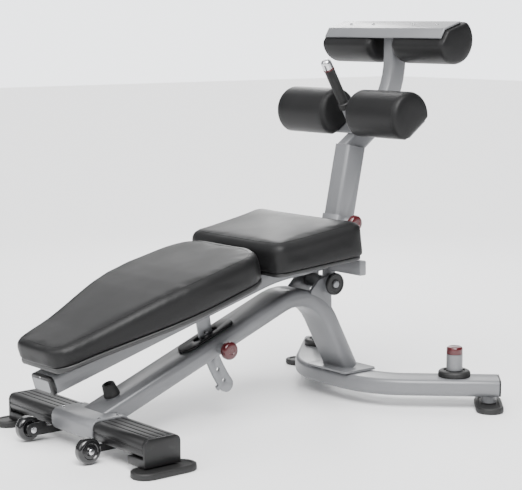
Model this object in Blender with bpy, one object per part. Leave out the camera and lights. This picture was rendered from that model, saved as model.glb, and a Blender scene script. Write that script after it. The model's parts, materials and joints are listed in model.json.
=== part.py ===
# Adjustable decline bench with a leg-hold tower that telescopes.
# Metres, +Z up, +X along the bench toward the tower, Y = 0 is the plane of symmetry.
# "left" is the +Y side and "right" the -Y side, which carries the pull knobs.
# Stations along X count from the low end of the back pad, and the bench empty moves
# MIDDLE_STATION to the origin.

import math

import bmesh
import bpy
from mathutils import Matrix, Vector

MIDDLE_STATION = 0.773
GAP = 0.0003                  # between pieces that touch
WELD_GAP = 0.0008             # under a plate on a bent tube
RUNNING_GAP = 0.0008          # between pieces that slide or turn

# Front foot: cross tube, grey saddle, ribbed covers, end caps, pads and wheels
FOOT_STATION = 0.2565
FOOT_HEIGHT = 0.067
FOOT_TUBE = (0.102, 0.042)
FOOT_TUBE_CORNER = 0.012
FOOT_HALF_SPAN = 0.320
COVER_WALL = 0.005
SADDLE_WALL = 0.009
SADDLE_HALF_SPAN = 0.098
GROOVE_WIDTH = 0.006
GROOVE_DEPTH = 0.0015
FOOT_CAP_THICKNESS = 0.010
FOOT_RISER_LENGTH = 0.066
FOOT_PAD = (0.190, 0.079)
FOOT_PAD_OFFSET = 0.0125      # how far the pad's middle stands past the tube's end
PAD_THICKNESS = 0.018

WHEEL_STATION = 0.152
WHEEL_HEIGHT = 0.0375
WHEEL_RADIUS = 0.034
WHEEL_THICKNESS = 0.030
WHEEL_OFFSET = 0.147
AXLE_RADIUS = 0.005
WHEEL_BRACKET_THICKNESS = 0.005
WHEEL_BRACKET_GAP = 0.007     # bracket to wheel

# Main beam: one bent tube from the front foot over the bend and down the leg
MAIN_TUBE = (0.110, 0.050)
MAIN_TUBE_CORNER = 0.014
MAIN_BEND = (1.0122, 0.3669)
MAIN_BEND_RADIUS = 0.145
LEG_FOOT = (1.1588, 0.0965)
LEG_PLATE = (0.125, 0.180, 0.006)

BUMPER_DISTANCE = 0.089       # from the foot tube's middle, along the beam
BUMPER_BOSS_RADIUS = 0.020
BUMPER_BOSS_HEIGHT = 0.006
BUMPER_BASE_RADIUS = 0.0225
BUMPER_TOP_RADIUS = 0.0180
BUMPER_HEIGHT = 0.036

# Pivot between the main beam's bend and the upper frame
PIVOT = (1.069, 0.362)
SHAFT_RADIUS = 0.008
HUB_RADIUS = 0.020
EAR_INNER = 0.044
EAR_THICKNESS = 0.0105
EAR_BOSS_RADIUS = 0.028
EAR_BOSS_LENGTH = 0.011
PIVOT_CAP_RADIUS = 0.033
PIVOT_CAP_THICKNESS = 0.010
LUG_THICKNESS = 0.0135
LUG_STATIONS = (1.055, 1.095)

# Curved strap that sets the decline, and its pull pin
STRAP_RADIUS = 0.438
STRAP_WIDTH = 0.045
STRAP_THICKNESS = 0.009
STRAP_START = 4.5
STRAP_END = 39.5
STRAP_HOLES = (13.5, 18.6, 23.85, 29.0, 34.2)
STRAP_HOLE_RADIUS = 0.0058
STRAP_TAB = (34.2, 35.8, 0.009)
STRAP_SLOT_GAP = 0.004
PIN_ANGLE = 18.6
PIN_RADIUS = 0.005
PIN_HOUSING_RADIUS = 0.015
PIN_HOUSING_LENGTH = 0.022
PIN_CLEARANCE = 0.001         # between a pin's nose and what it locks
KNOB_RADIUS = 0.0255
KNOB_LENGTH = 0.030
BEZEL = (0.190, 0.062, 0.007)
BEZEL_SLOT = (0.084, 0.020)

# Rear bow, its feet and the weight storage posts
BOW_TUBE = (0.106, 0.050)
BOW_TUBE_CORNER = 0.013
BOW_FRONT = 1.161             # middle line at Y = 0
BOW_CORNER = 0.1445           # where the middle line would turn, without the bend
BOW_RADIUS = 0.215
BOW_END = (1.425, 0.395)
BOW_BASE = 0.038
BOW_CAP_THICKNESS = 0.005
REAR_PAD = (0.182, 0.080)
REAR_PAD_INSET = 0.028        # from the tube's end
REAR_PAD_SHIFT = 0.020        # outward, square to the tube
REAR_SPACER_RADIUS = 0.0225
POST_PLACE = (1.3375, 0.3007)
POST_RADIUS = 0.024
POST_LENGTH = 0.047
POST_CAP_LENGTH = 0.023
POST_BASE_RADIUS = 0.0475
POST_BASE_HEIGHT = 0.019

# Upper frame: bent beam, crossbar, pads and the tower's socket
UPPER_TUBE = (0.095, 0.052)
UPPER_TUBE_CORNER = 0.012
UPPER_LOW_END = (0.1227, 0.1930)
UPPER_BEND = (0.8659, 0.4089)
UPPER_BEND_RADIUS = 0.55
UPPER_REAR_END = (1.130, 0.4343)
LOW_CAP_THICKNESS = 0.013
CROSSBAR_SECTION = (0.025, 0.043)
CROSSBAR_HALF_SPAN = 0.188
CROSSBAR_PLACE = (1.0725, 0.422)

BACK_START = 0.158            # distances along the back pad's slope
BACK_END = 0.832
BACK_PAN_FLOOR = 0.1945       # heights square to the slope
BACK_PAN_THICKNESS = 0.015
BACK_PAN_INSET = 0.006
BACK_LOW_CORNER = 0.050
BACK_HIGH_CORNER = 0.085
BACK_MOUNT = (0.300, 0.060)

SEAT_PLACE = (0.760, 0.4275)
SEAT_SLOPE = 5.9
SEAT_LENGTH = 0.303
SEAT_OVERHANG = 0.015         # of the cushion in front of the pan
SEAT_FRONT_HALF_WIDTH = 0.202
SEAT_REAR_HALF_WIDTH = 0.234
SEAT_FRONT_RISE = 0.077
SEAT_REAR_RISE = 0.0945
SEAT_CORNER = 0.030
SEAT_EDGE_ROUND = 0.020
SEAT_PAN_THICKNESS = 0.012
SEAT_PAN_INSET = 0.006
SEAT_MOUNT = (0.160, 0.070)

# Tower, its socket and its pull pin
TOWER_TUBE = (0.064, 0.072)
TOWER_TUBE_CORNER = 0.010
TOWER_LEAN = 12.0
TOWER_FOOT = (1.1177, 0.410)
TOWER_TOP = (1.1915, 0.757)
TOWER_TRAVEL = 0.075
TOWER_HOLE_PITCH = 0.025
SOCKET_WALL = 0.0045
SOCKET_HEIGHTS = (0.400, 0.552)
TOWER_PIN_HEIGHT = 0.535
TOWER_KNOB_RADIUS = 0.024
TOWER_KNOB_LENGTH = 0.028
TOWER_KNOB_STANDOFF = 0.022

NECK_TUBE = (0.044, 0.062)
NECK_TUBE_CORNER = 0.010
NECK_START = (1.172, 0.740)
NECK_SLOPE = 36.0
NECK_STATION = 1.3705
NECK_BEND_RADIUS = 0.2625
NECK_TOP = 1.16

# Leg pads: round bolsters with flats that sit on steel plates
PLATE_THICKNESS = 0.007
PLATE_HALF_SPAN = 0.250
LOWER_PLATE_LENGTH = 0.080
LOWER_PLATE_MIDDLE = 0.0855    # along the neck, from its start
LOWER_PAD_CENTRE = (1.1895, 0.8555)
LOWER_PAD_RADIUS = 0.0685
UPPER_PLATE_BACK = (1.393, 1.1255)
UPPER_PLATE_BEND = (1.325, 1.1045)
UPPER_PLATE_FRONT = (1.308, 1.077)
UPPER_PAD_CENTRE = (1.3717, 1.070)
UPPER_PAD_RADIUS = 0.068
PAD_INNER = 0.0465
PAD_OUTER = 0.260
PAD_END_ROUND = 0.014

HANDLE_TIP = (1.087, 1.013)
HANDLE_LEAN = 30.5
STEM_RADIUS = 0.0135
COLLAR_RADIUS = 0.0175
COLLAR_LENGTH = 0.020
GRIP_RADIUS = 0.0158
GRIP_LENGTH = 0.132
HANDLE_CAP_LENGTH = 0.034

CORNER_STEPS = 3
BEND_STEPS = 8
ROUND_STEPS = 24


# Outlines and paths

def arc(centre, radius, start, end, steps):
    points = []
    for step in range(steps + 1):
        angle = math.radians(start + (end - start) * step / steps)
        points.append((centre[0] + radius * math.cos(angle), centre[1] + radius * math.sin(angle)))
    return points


def rounded_rectangle(width, height, radius, steps=CORNER_STEPS):
    points = []
    for quarter, (side, level) in enumerate(((1, 1), (-1, 1), (-1, -1), (1, -1))):
        centre = (side * (width / 2 - radius), level * (height / 2 - radius))
        points += arc(centre, radius, 90 * quarter, 90 * quarter + 90, steps)
    return points


def grooved_side(start, end, count):
    start = Vector(start)
    along = Vector(end) - start
    pitch = along.length / count
    along.normalize()
    inward = Vector((-along.y, along.x)) * GROOVE_DEPTH
    points = []
    for groove in range(count):
        middle = start + along * pitch * (groove + 0.5)
        half = along * GROOVE_WIDTH / 2
        points += [middle - half, middle - half * 0.6 + inward, middle + half * 0.6 + inward, middle + half]
    return points


def grooved_rectangle(width, height, radius, top_grooves, side_grooves):
    x, y = width / 2 - radius, height / 2 - radius
    points = arc((x, y), radius, 0, 90, CORNER_STEPS)
    points += grooved_side((x, height / 2), (-x, height / 2), top_grooves)
    points += arc((-x, y), radius, 90, 180, CORNER_STEPS)
    points += grooved_side((-width / 2, y), (-width / 2, -y), side_grooves)
    points += arc((-x, -y), radius, 180, 270, CORNER_STEPS)
    points += arc((x, -y), radius, 270, 360, CORNER_STEPS)
    points += grooved_side((width / 2, -y), (width / 2, y), side_grooves)
    return points


def stadium(length, width, steps=8):
    half = (length - width) / 2
    return arc((half, 0), width / 2, -90, 90, steps) + arc((-half, 0), width / 2, 90, 270, steps)


def corner_arc(before, corner, after, radius, steps):
    corner = Vector(corner)
    toward = (Vector(before) - corner).normalized()
    onward = (Vector(after) - corner).normalized()
    half = toward.angle(onward) / 2
    centre = corner + (toward + onward).normalized() * radius / math.sin(half)
    first = corner + toward * radius / math.tan(half) - centre
    last = corner + onward * radius / math.tan(half) - centre
    turn = math.atan2(first.x * last.y - first.y * last.x, first.dot(last))
    return [centre + Matrix.Rotation(turn * step / steps, 2) @ first for step in range(steps + 1)]


def rounded_outline(corners, steps=CORNER_STEPS):
    # A closed outline through corners given as (x, y, radius).
    points = []
    for index, (x, y, radius) in enumerate(corners):
        if radius == 0:
            points.append(Vector((x, y)))
        else:
            after = corners[(index + 1) % len(corners)][:2]
            points += corner_arc(corners[index - 1][:2], (x, y), after, radius, steps)
    return points


def bent_path(start, corner, end, radius, steps=BEND_STEPS):
    return [Vector(start)] + corner_arc(start, corner, end, radius, steps) + [Vector(end)]


def flat_sided_round(radius, flats, steps):
    # A circle cut by flats, each (direction in degrees, distance from the centre).
    angles = {360 * step / steps for step in range(steps)}
    for direction, distance in flats:
        half = math.degrees(math.acos(distance / radius))
        angles |= {(direction - half) % 360, (direction + half) % 360}
    if len(flats) == 2:
        (first, low), (second, high) = flats
        turn = math.radians(second - first)
        lean = math.atan2(high - low * math.cos(turn), low * math.sin(turn))
        angles.add((first + math.degrees(lean)) % 360)
    points = []
    for angle in sorted(angles):
        reach = radius
        for direction, distance in flats:
            facing = math.cos(math.radians(angle - direction))
            if facing > 0:
                reach = min(reach, distance / facing)
        points.append((reach * math.cos(math.radians(angle)), reach * math.sin(math.radians(angle))))
    return points


def smooth_between(stations, value):
    # Smooth steps between (place, value) stations, level before the first and past the last.
    if value <= stations[0][0]:
        return stations[0][1]
    for (low, before), (high, after) in zip(stations, stations[1:]):
        if value <= high:
            share = (value - low) / (high - low)
            return before + (after - before) * share * share * (3 - 2 * share)
    return stations[-1][1]


# Solids

def loft(rings, closed=False):
    bm = bmesh.new()
    loops = [[bm.verts.new(point) for point in ring] for ring in rings]
    count = len(rings[0])
    pairs = list(zip(loops, loops[1:]))
    if closed:
        pairs.append((loops[-1], loops[0]))
    for low, high in pairs:
        for index in range(count):
            following = (index + 1) % count
            bm.faces.new((low[index], low[following], high[following], high[index]))
    if not closed:
        bm.faces.new(loops[0][::-1])
        bm.faces.new(loops[-1])
    bmesh.ops.recalc_face_normals(bm, faces=bm.faces)
    return bm


def on_axis(axis, first, second, height):
    # A point whose outline coordinates are first and second and which lies at height on the axis.
    if axis == "X":
        return Vector((height, first, second))
    if axis == "Y":
        return Vector((first, height, second))
    return Vector((first, second, height))


def prism(outline, low, high, axis="Z"):
    return loft([[on_axis(axis, x, y, level) for x, y in outline] for level in (low, high)])


def block(centre, size):
    bm = bmesh.new()
    bmesh.ops.create_cube(bm, size=1)
    bmesh.ops.scale(bm, vec=size, verts=bm.verts)
    bmesh.ops.translate(bm, vec=centre, verts=bm.verts)
    return bm


def turned(profile, axis="Z", steps=ROUND_STEPS):
    # A solid turned from (radius, height) points; one that ends where it began is a ring.
    ring_shaped = profile[0] == profile[-1]
    if ring_shaped:
        profile = profile[:-1]
    rings = []
    for radius, height in profile:
        angles = [2 * math.pi * step / steps for step in range(steps)]
        rings.append([on_axis(axis, radius * math.cos(a), radius * math.sin(a), height) for a in angles])
    return loft(rings, closed=ring_shaped)


def disc(centre, radius, low, high, axis="Y", steps=ROUND_STEPS):
    bm = turned([(radius, low), (radius, high)], axis, steps)
    bmesh.ops.translate(bm, vec=on_axis(axis, centre[0], centre[1], 0), verts=bm.verts)
    return bm


def sweep(path, section, across):
    # A section of (across, outward) points carried along a flat path and mitred at its corners.
    rings = []
    for index, point in enumerate(path):
        before = (point - path[max(index - 1, 0)]).normalized()
        after = (path[min(index + 1, len(path) - 1)] - point).normalized()
        along = (before + after).normalized()
        outward = along.cross(across)
        stretch = 1 / max(along.dot(after), along.dot(before))
        rings.append([point + across * a + outward * b * stretch for a, b in section])
    return loft(rings)


def side_sweep(path, section):
    return sweep([Vector((x, 0, z)) for x, z in path], section, Vector((0, 1, 0)))


# Objects

def clear_scene():
    for old in list(bpy.data.objects):
        bpy.data.objects.remove(old, do_unlink=True)


def make_material(name, colour, roughness, metallic):
    material = bpy.data.materials.new(name)
    material.use_nodes = True
    shader = material.node_tree.nodes["Principled BSDF"]
    shader.inputs["Base Color"].default_value = (*colour, 1)
    shader.inputs["Roughness"].default_value = roughness
    shader.inputs["Metallic"].default_value = metallic
    return material


def make_group(name, place, parent=None):
    group = bpy.data.objects.new(name, None)
    bpy.context.collection.objects.link(group)
    group.parent = parent
    group.location = place
    return group


def add(name, bm, material, group, place=None, tilt=0.0, turn=0.0):
    # A mesh with a place stands there, tilted about Y and turned about Z. One without a place is
    # in bench stations, and its origin moves to the group's.
    mesh = bpy.data.meshes.new(name)
    if place is None:
        bmesh.ops.translate(bm, vec=-group.location, verts=bm.verts)
        place = group.location
    bm.to_mesh(mesh)
    bm.free()
    if material:
        mesh.materials.append(material)
    piece = bpy.data.objects.new(name, mesh)
    bpy.context.collection.objects.link(piece)
    piece.parent = group
    piece.location = Vector(place) - group.location
    piece.rotation_euler = (0, math.radians(tilt), math.radians(turn))
    return piece


def shape_by(piece, tool, operation):
    # The Boolean is applied at once, so the tool can go.
    boolean = piece.modifiers.new("shape", "BOOLEAN")
    boolean.operation = operation
    boolean.solver = "EXACT"
    boolean.object = tool
    bpy.context.view_layer.update()
    depsgraph = bpy.context.evaluated_depsgraph_get()
    shaped = bpy.data.meshes.new_from_object(piece.evaluated_get(depsgraph))
    piece.modifiers.clear()
    piece.data = shaped
    shaped.name = piece.name
    bpy.data.objects.remove(tool)


def cut(piece, bm, group, **placing):
    shape_by(piece, add("tool", bm, None, group, **placing), "DIFFERENCE")


def join(piece, bm, group, **placing):
    shape_by(piece, add("tool", bm, None, group, **placing), "UNION")


def soften(piece, width, segments=2, angle=40):
    bevel = piece.modifiers.new("edges", "BEVEL")
    bevel.width = width
    bevel.segments = segments
    bevel.limit_method = "ANGLE"
    bevel.angle_limit = math.radians(angle)


def shade_round_pieces():
    for piece in bpy.data.objects:
        if piece.type == "MESH":
            piece.data.shade_smooth()
            piece.data.set_sharp_from_angle(angle=math.radians(35))


def sides():
    return (("left", 1), ("right", -1))


# Places worked out from the driving sizes

MAIN_SLOPE = math.atan2(MAIN_BEND[1] - FOOT_HEIGHT, MAIN_BEND[0] - FOOT_STATION)
BACK_SLOPE = math.atan2(UPPER_BEND[1] - UPPER_LOW_END[1], UPPER_BEND[0] - UPPER_LOW_END[0])


def along_slope(start, slope, distance, height):
    along = Vector((math.cos(slope), math.sin(slope)))
    square = Vector((-along.y, along.x))
    return Vector(start) + along * distance + square * height


def polar(angle, radius):
    # A point around the pivot, angle in degrees below the level line toward the low end.
    return (PIVOT[0] - radius * math.cos(math.radians(angle)),
            PIVOT[1] - radius * math.sin(math.radians(angle)))


def main_path():
    return bent_path((FOOT_STATION, FOOT_HEIGHT), MAIN_BEND, LEG_FOOT, MAIN_BEND_RADIUS)


def upper_path():
    return bent_path(UPPER_LOW_END, UPPER_BEND, UPPER_REAR_END, UPPER_BEND_RADIUS, 4)


def grown_tube(size, corner, growth):
    return rounded_rectangle(size[0] + 2 * growth, size[1] + 2 * growth, corner + growth)


# Sub-assemblies

def build_front_foot(base, paint, plastic, rubber, steel):
    wide, high = FOOT_TUBE
    middle = (FOOT_STATION, 0, FOOT_HEIGHT)
    tube = rounded_rectangle(wide, high, FOOT_TUBE_CORNER)
    add("front_tube", prism(tube, -FOOT_HALF_SPAN, FOOT_HALF_SPAN, "Y"), paint, base, middle)

    bore = grown_tube(FOOT_TUBE, FOOT_TUBE_CORNER, GAP)
    outside = grown_tube(FOOT_TUBE, FOOT_TUBE_CORNER, SADDLE_WALL)
    saddle_body = prism(outside, -SADDLE_HALF_SPAN, SADDLE_HALF_SPAN, "Y")
    saddle = add("front_saddle", saddle_body, paint, base, middle)
    cut(saddle, prism(bore, -1, 1, "Y"), base, place=middle)

    cover_size = (wide + 2 * COVER_WALL, high + 2 * COVER_WALL)
    cover_outline = grooved_rectangle(*cover_size, FOOT_TUBE_CORNER + COVER_WALL, 4, 1)
    cap_half = cover_size[0] / 2 - 0.0005
    floor = FOOT_HEIGHT - cover_size[1] / 2
    for name, side in sides():
        start, end = side * (SADDLE_HALF_SPAN + GAP), side * FOOT_HALF_SPAN
        cover = add("foot_cover_" + name, prism(cover_outline, start, end, "Y"), plastic, base, middle)
        cut(cover, prism(bore, -1, 1, "Y"), base, place=middle)

        inner = side * (FOOT_HALF_SPAN + GAP)
        outer = side * (FOOT_HALF_SPAN + FOOT_CAP_THICKNESS)
        under = side * (FOOT_HALF_SPAN - FOOT_RISER_LENGTH)
        low, high, edge = PAD_THICKNESS + GAP, floor + cover_size[1], 0.003
        profile = rounded_outline([(outer, low, edge), (outer, high, edge), (inner, high, edge),
                                   (inner, floor - GAP, 0), (under, floor - GAP, edge), (under, low, edge)])
        cap_body = prism(profile, FOOT_STATION - cap_half, FOOT_STATION + cap_half, "X")
        cap = add("foot_cap_" + name, cap_body, plastic, base)
        for edge_side in (-1, 1):
            cut(cap, top_corner(edge_side, cap_half, high, FOOT_TUBE_CORNER + COVER_WALL), base)

        pad_place = (FOOT_STATION, side * (FOOT_HALF_SPAN + FOOT_PAD_OFFSET), 0)
        soften(add("front_foot_" + name, prism(stadium(*FOOT_PAD), 0, PAD_THICKNESS), rubber, base, pad_place), 0.004)
        build_wheel_bracket(name, side, floor - 2 * GAP, base, plastic, steel)


def top_corner(side, half, top, radius):
    # What rounding one upper corner of a foot cap takes away.
    beyond = 0.010
    edge = FOOT_STATION + side * half
    arc_points = corner_arc((edge, top - 2 * radius), (edge, top), (FOOT_STATION, top), radius, CORNER_STEPS)
    outline = [Vector((edge + side * beyond, top + beyond)), Vector((edge + side * beyond, arc_points[0].y))]
    outline += arc_points + [Vector((arc_points[-1].x, top + beyond))]
    return prism(outline, -1, 1, "Y")


def build_wheel_bracket(name, side, ceiling, base, plastic, steel):
    wheel_inner = WHEEL_OFFSET - WHEEL_THICKNESS / 2
    outer = wheel_inner - WHEEL_BRACKET_GAP
    inner = outer - WHEEL_BRACKET_THICKNESS
    reach = 0.0175
    low, high = WHEEL_HEIGHT - reach, WHEEL_HEIGHT + reach
    front = WHEEL_STATION - reach
    cover_front = FOOT_STATION - FOOT_TUBE[0] / 2 - COVER_WALL
    outline = rounded_outline([
        (front, low, reach * 0.98),
        (FOOT_STATION + 0.030, low, 0.006),
        (FOOT_STATION + 0.030, ceiling, 0.004),
        (cover_front - 0.004, ceiling, 0.003),
        (cover_front - 0.010, high, 0.005),
        (front, high, reach * 0.98)])
    bracket = add("wheel_bracket_" + name, prism(outline, side * inner, side * outer, "Y"), plastic, base)
    hole = disc((WHEEL_STATION, WHEEL_HEIGHT), AXLE_RADIUS + GAP, -1, 1)
    cut(bracket, hole, base)

    head, nut = 0.0085, 0.0085
    wheel_outer = WHEEL_OFFSET + WHEEL_THICKNESS / 2
    heights = [(nut, inner - 0.005), (nut, inner - GAP), (AXLE_RADIUS, inner - GAP),
               (AXLE_RADIUS, outer + GAP), (nut, outer + GAP), (nut, wheel_inner - RUNNING_GAP),
               (AXLE_RADIUS, wheel_inner - RUNNING_GAP), (AXLE_RADIUS, wheel_outer + RUNNING_GAP),
               (head, wheel_outer + RUNNING_GAP), (head, wheel_outer + 0.003), (head - 0.002, wheel_outer + 0.005)]
    bolt = turned([(radius, side * height) for radius, height in heights], "Y", 20)
    add("wheel_bolt_" + name, bolt, steel, base, (WHEEL_STATION, 0, WHEEL_HEIGHT))


def build_wheels(wheel_groups, plastic):
    half, edge = WHEEL_THICKNESS / 2, 0.008
    bore = AXLE_RADIUS + RUNNING_GAP
    rim = arc((WHEEL_RADIUS - edge, edge - half), edge, -90, 0, 3)
    rim += arc((WHEEL_RADIUS - edge, half - edge), edge, 0, 90, 3)
    profile = [(bore, -half), (0.012, -half), (0.014, 0.002 - half), (0.021, 0.002 - half), (0.023, -half)]
    profile += rim
    profile += [(0.023, half), (0.021, half - 0.002), (0.014, half - 0.002), (0.012, half), (bore, half)]
    for name, side in sides():
        group = wheel_groups[name]
        add("wheel_" + name, turned(profile + profile[:1], "Y"), plastic, group, group.location)


def build_main_beam(base, paint):
    path = main_path()
    section = rounded_rectangle(*MAIN_TUBE, MAIN_TUBE_CORNER)
    beam = add("main_beam", side_sweep(path, section), paint, base)
    below_leg = block((LEG_FOOT[0], 0, LEG_FOOT[1] - 0.05), (0.3, 0.3, 0.1))
    cut(beam, below_leg, base)

    x, z = bumper_place(0)
    boss = turned([(BUMPER_BOSS_RADIUS, -0.01), (BUMPER_BOSS_RADIUS, BUMPER_BOSS_HEIGHT)])
    join(beam, boss, base, place=(x, 0, z), tilt=-math.degrees(MAIN_SLOPE))
    saddle = prism(grown_tube(FOOT_TUBE, FOOT_TUBE_CORNER, SADDLE_WALL + GAP), -1, 1, "Y")
    cut(beam, saddle, base, place=(FOOT_STATION, 0, FOOT_HEIGHT))

    pin = polar(PIN_ANGLE, STRAP_RADIUS)
    side_face = MAIN_TUBE[0] / 2
    housing = disc(pin, PIN_HOUSING_RADIUS, -side_face - PIN_HOUSING_LENGTH, 0.01 - side_face)
    join(beam, housing, base)
    cut(beam, disc(pin, PIN_RADIUS + RUNNING_GAP, -1, 0), base)

    slot_inner = STRAP_RADIUS - STRAP_WIDTH / 2 - STRAP_SLOT_GAP
    slot_outer = STRAP_RADIUS + STRAP_WIDTH / 2 + STRAP_SLOT_GAP
    angles = [PIN_ANGLE - 9 + 3 * step for step in range(7)]
    outline = [polar(angle, slot_inner) for angle in angles]
    outline += [polar(angle, slot_outer) for angle in reversed(angles)]
    half = STRAP_THICKNESS / 2 + STRAP_SLOT_GAP / 2
    cut(beam, prism(outline, -half, half, "Y"), base)


def bumper_place(height):
    start = (FOOT_STATION, FOOT_HEIGHT)
    return along_slope(start, MAIN_SLOPE, BUMPER_DISTANCE, MAIN_TUBE[1] / 2 + height)


def build_beam_fittings(base, paint, plastic, rubber):
    x, z = bumper_place(BUMPER_BOSS_HEIGHT + GAP)
    profile = [(BUMPER_BASE_RADIUS, 0), (BUMPER_BASE_RADIUS, 0.008),
               (BUMPER_TOP_RADIUS, BUMPER_HEIGHT - 0.002), (BUMPER_TOP_RADIUS - 0.002, BUMPER_HEIGHT),
               (0.012, BUMPER_HEIGHT), (0.010, BUMPER_HEIGHT - 0.006)]
    add("bumper", turned(profile), rubber, base, (x, 0, z), tilt=-math.degrees(MAIN_SLOPE))

    top = MAIN_TUBE[1] / 2
    strap_crossing = Vector(polar(PIN_ANGLE - math.degrees(top / STRAP_RADIUS), STRAP_RADIUS))
    reach = (strap_crossing - Vector((FOOT_STATION, FOOT_HEIGHT))).length
    x, z = along_slope((FOOT_STATION, FOOT_HEIGHT), MAIN_SLOPE, reach * math.cos(top / reach), top + GAP)
    length, width, height = BEZEL
    placing = {"place": (x, 0, z), "tilt": -math.degrees(MAIN_SLOPE)}
    bezel = add("slot_bezel", prism(stadium(length, width), 0, height), plastic, base, **placing)
    cut(bezel, prism(stadium(*BEZEL_SLOT, 6), -1, 1), base, **placing)
    soften(bezel, 0.002)

    length, width, height = LEG_PLATE
    plate_place = (LEG_FOOT[0], 0, LEG_FOOT[1] - GAP - height)
    plate = prism(rounded_rectangle(length, width, 0.012), 0, height)
    add("leg_plate", plate, paint, base, plate_place)


def build_pivot(base, paint, plastic, steel):
    x, z = PIVOT
    ear_outer = EAR_INNER + EAR_THICKNESS
    boss_outer = ear_outer + EAR_BOSS_LENGTH
    cap_inner = boss_outer + GAP
    cap_outer = cap_inner + PIVOT_CAP_THICKNESS
    outline = rounded_outline([
        (x - 0.084, z - 0.037, 0), (x - 0.075, z - 0.012, 0.003), (x - 0.048, z + 0.014, 0.012),
        (x - 0.009, z + 0.0275, 0.010), (x + 0.016, z + 0.010, 0.010), (x + 0.0015, z - 0.037, 0.010),
        (x + 0.0025, z - 0.072, 0), (x - 0.039, z - 0.072, 0)])
    for name, side in sides():
        ear = add("pivot_ear_" + name, prism(outline, side * EAR_INNER, side * ear_outer, "Y"), paint, base)
        cut(ear, side_sweep(main_path(), grown_tube(MAIN_TUBE, MAIN_TUBE_CORNER, GAP)), base)
        join(ear, disc(PIVOT, EAR_BOSS_RADIUS, side * EAR_INNER, side * boss_outer), base)
        cut(ear, disc(PIVOT, SHAFT_RADIUS + GAP, -1, 1), base)

        bore = SHAFT_RADIUS + GAP
        profile = [(bore, cap_inner), (PIVOT_CAP_RADIUS, cap_inner), (PIVOT_CAP_RADIUS, cap_outer - 0.003),
                   (PIVOT_CAP_RADIUS - 0.003, cap_outer), (0.014, cap_outer), (0.012, cap_outer - 0.002),
                   (bore, cap_outer - 0.002), (bore, cap_inner)]
        cap = turned([(radius, side * height) for radius, height in profile], "Y")
        add("pivot_cap_" + name, cap, plastic, base, (x, 0, z))

    head_inner = cap_outer - 0.002 + GAP
    head = [(SHAFT_RADIUS, head_inner), (0.011, head_inner), (0.011, head_inner + 0.003), (0.009, head_inner + 0.005)]
    profile = [(radius, -height) for radius, height in reversed(head)] + head
    add("pivot_shaft", turned(profile, "Y"), steel, base, (x, 0, z))


def build_rear_bow(base, paint, plastic, rubber, red):
    middle_height = BOW_BASE + BOW_TUBE[1] / 2
    end = Vector(BOW_END)
    corner = Vector((BOW_FRONT, BOW_CORNER))
    half = [corner_point for corner_point in corner_arc((BOW_FRONT, 0), corner, end, BOW_RADIUS, BEND_STEPS)]
    path = [Vector((x, -y, middle_height)) for x, y in [end] + half[::-1]]
    path += [Vector((x, y, middle_height)) for x, y in half + [end]]
    section = rounded_rectangle(BOW_TUBE[1], BOW_TUBE[0], BOW_TUBE_CORNER)
    bow = add("rear_bow", sweep(path, section, Vector((0, 0, 1))), paint, base)

    outward = (end - corner).normalized()
    heading = math.degrees(math.atan2(outward.y, outward.x))
    sideways = Vector((-outward.y, outward.x)) * REAR_PAD_SHIFT
    pad_x, pad_y = end - outward * REAR_PAD_INSET + sideways
    cap_x, cap_y = end + outward * GAP
    cap_outline = rounded_rectangle(BOW_TUBE[0], BOW_TUBE[1], BOW_TUBE_CORNER)
    for name, side in sides():
        spacer = disc((pad_x, side * pad_y), REAR_SPACER_RADIUS, PAD_THICKNESS + GAP, BOW_BASE + 0.02, "Z", 24)
        join(bow, spacer, base)
        cap = add("bow_cap_" + name, prism(cap_outline, 0, BOW_CAP_THICKNESS, "X"), plastic, base,
                  (cap_x, side * cap_y, middle_height), turn=side * heading)
        soften(cap, 0.002)
        pad = add("rear_foot_" + name, prism(stadium(*REAR_PAD), 0, PAD_THICKNESS), rubber, base,
                  (pad_x, side * pad_y, 0), turn=side * heading + 90)
        soften(pad, 0.004)
        build_post(name, side, base, paint, plastic, red)


def build_post(name, side, base, paint, plastic, red):
    x, y = POST_PLACE[0], side * POST_PLACE[1]
    floor = BOW_BASE + BOW_TUBE[1] + GAP
    base_top = POST_BASE_HEIGHT
    collar = [(POST_BASE_RADIUS, 0), (POST_BASE_RADIUS, 0.008)]
    collar += arc((POST_BASE_RADIUS - 0.010, base_top - 0.010), 0.010, 20, 90, 3)
    add("post_base_" + name, turned(collar + [(POST_RADIUS, base_top)]), plastic, base, (x, y, floor))
    post = [(POST_RADIUS, 0), (POST_RADIUS, POST_LENGTH)]
    add("post_" + name, turned(post), paint, base, (x, y, floor + base_top + GAP))
    cap = [(POST_RADIUS, 0)] + arc((POST_RADIUS - 0.008, POST_CAP_LENGTH - 0.008), 0.008, 0, 90, 4)
    cap_floor = floor + base_top + POST_LENGTH + 2 * GAP
    add("post_cap_" + name, turned(cap), red, base, (x, y, cap_floor))


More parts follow.
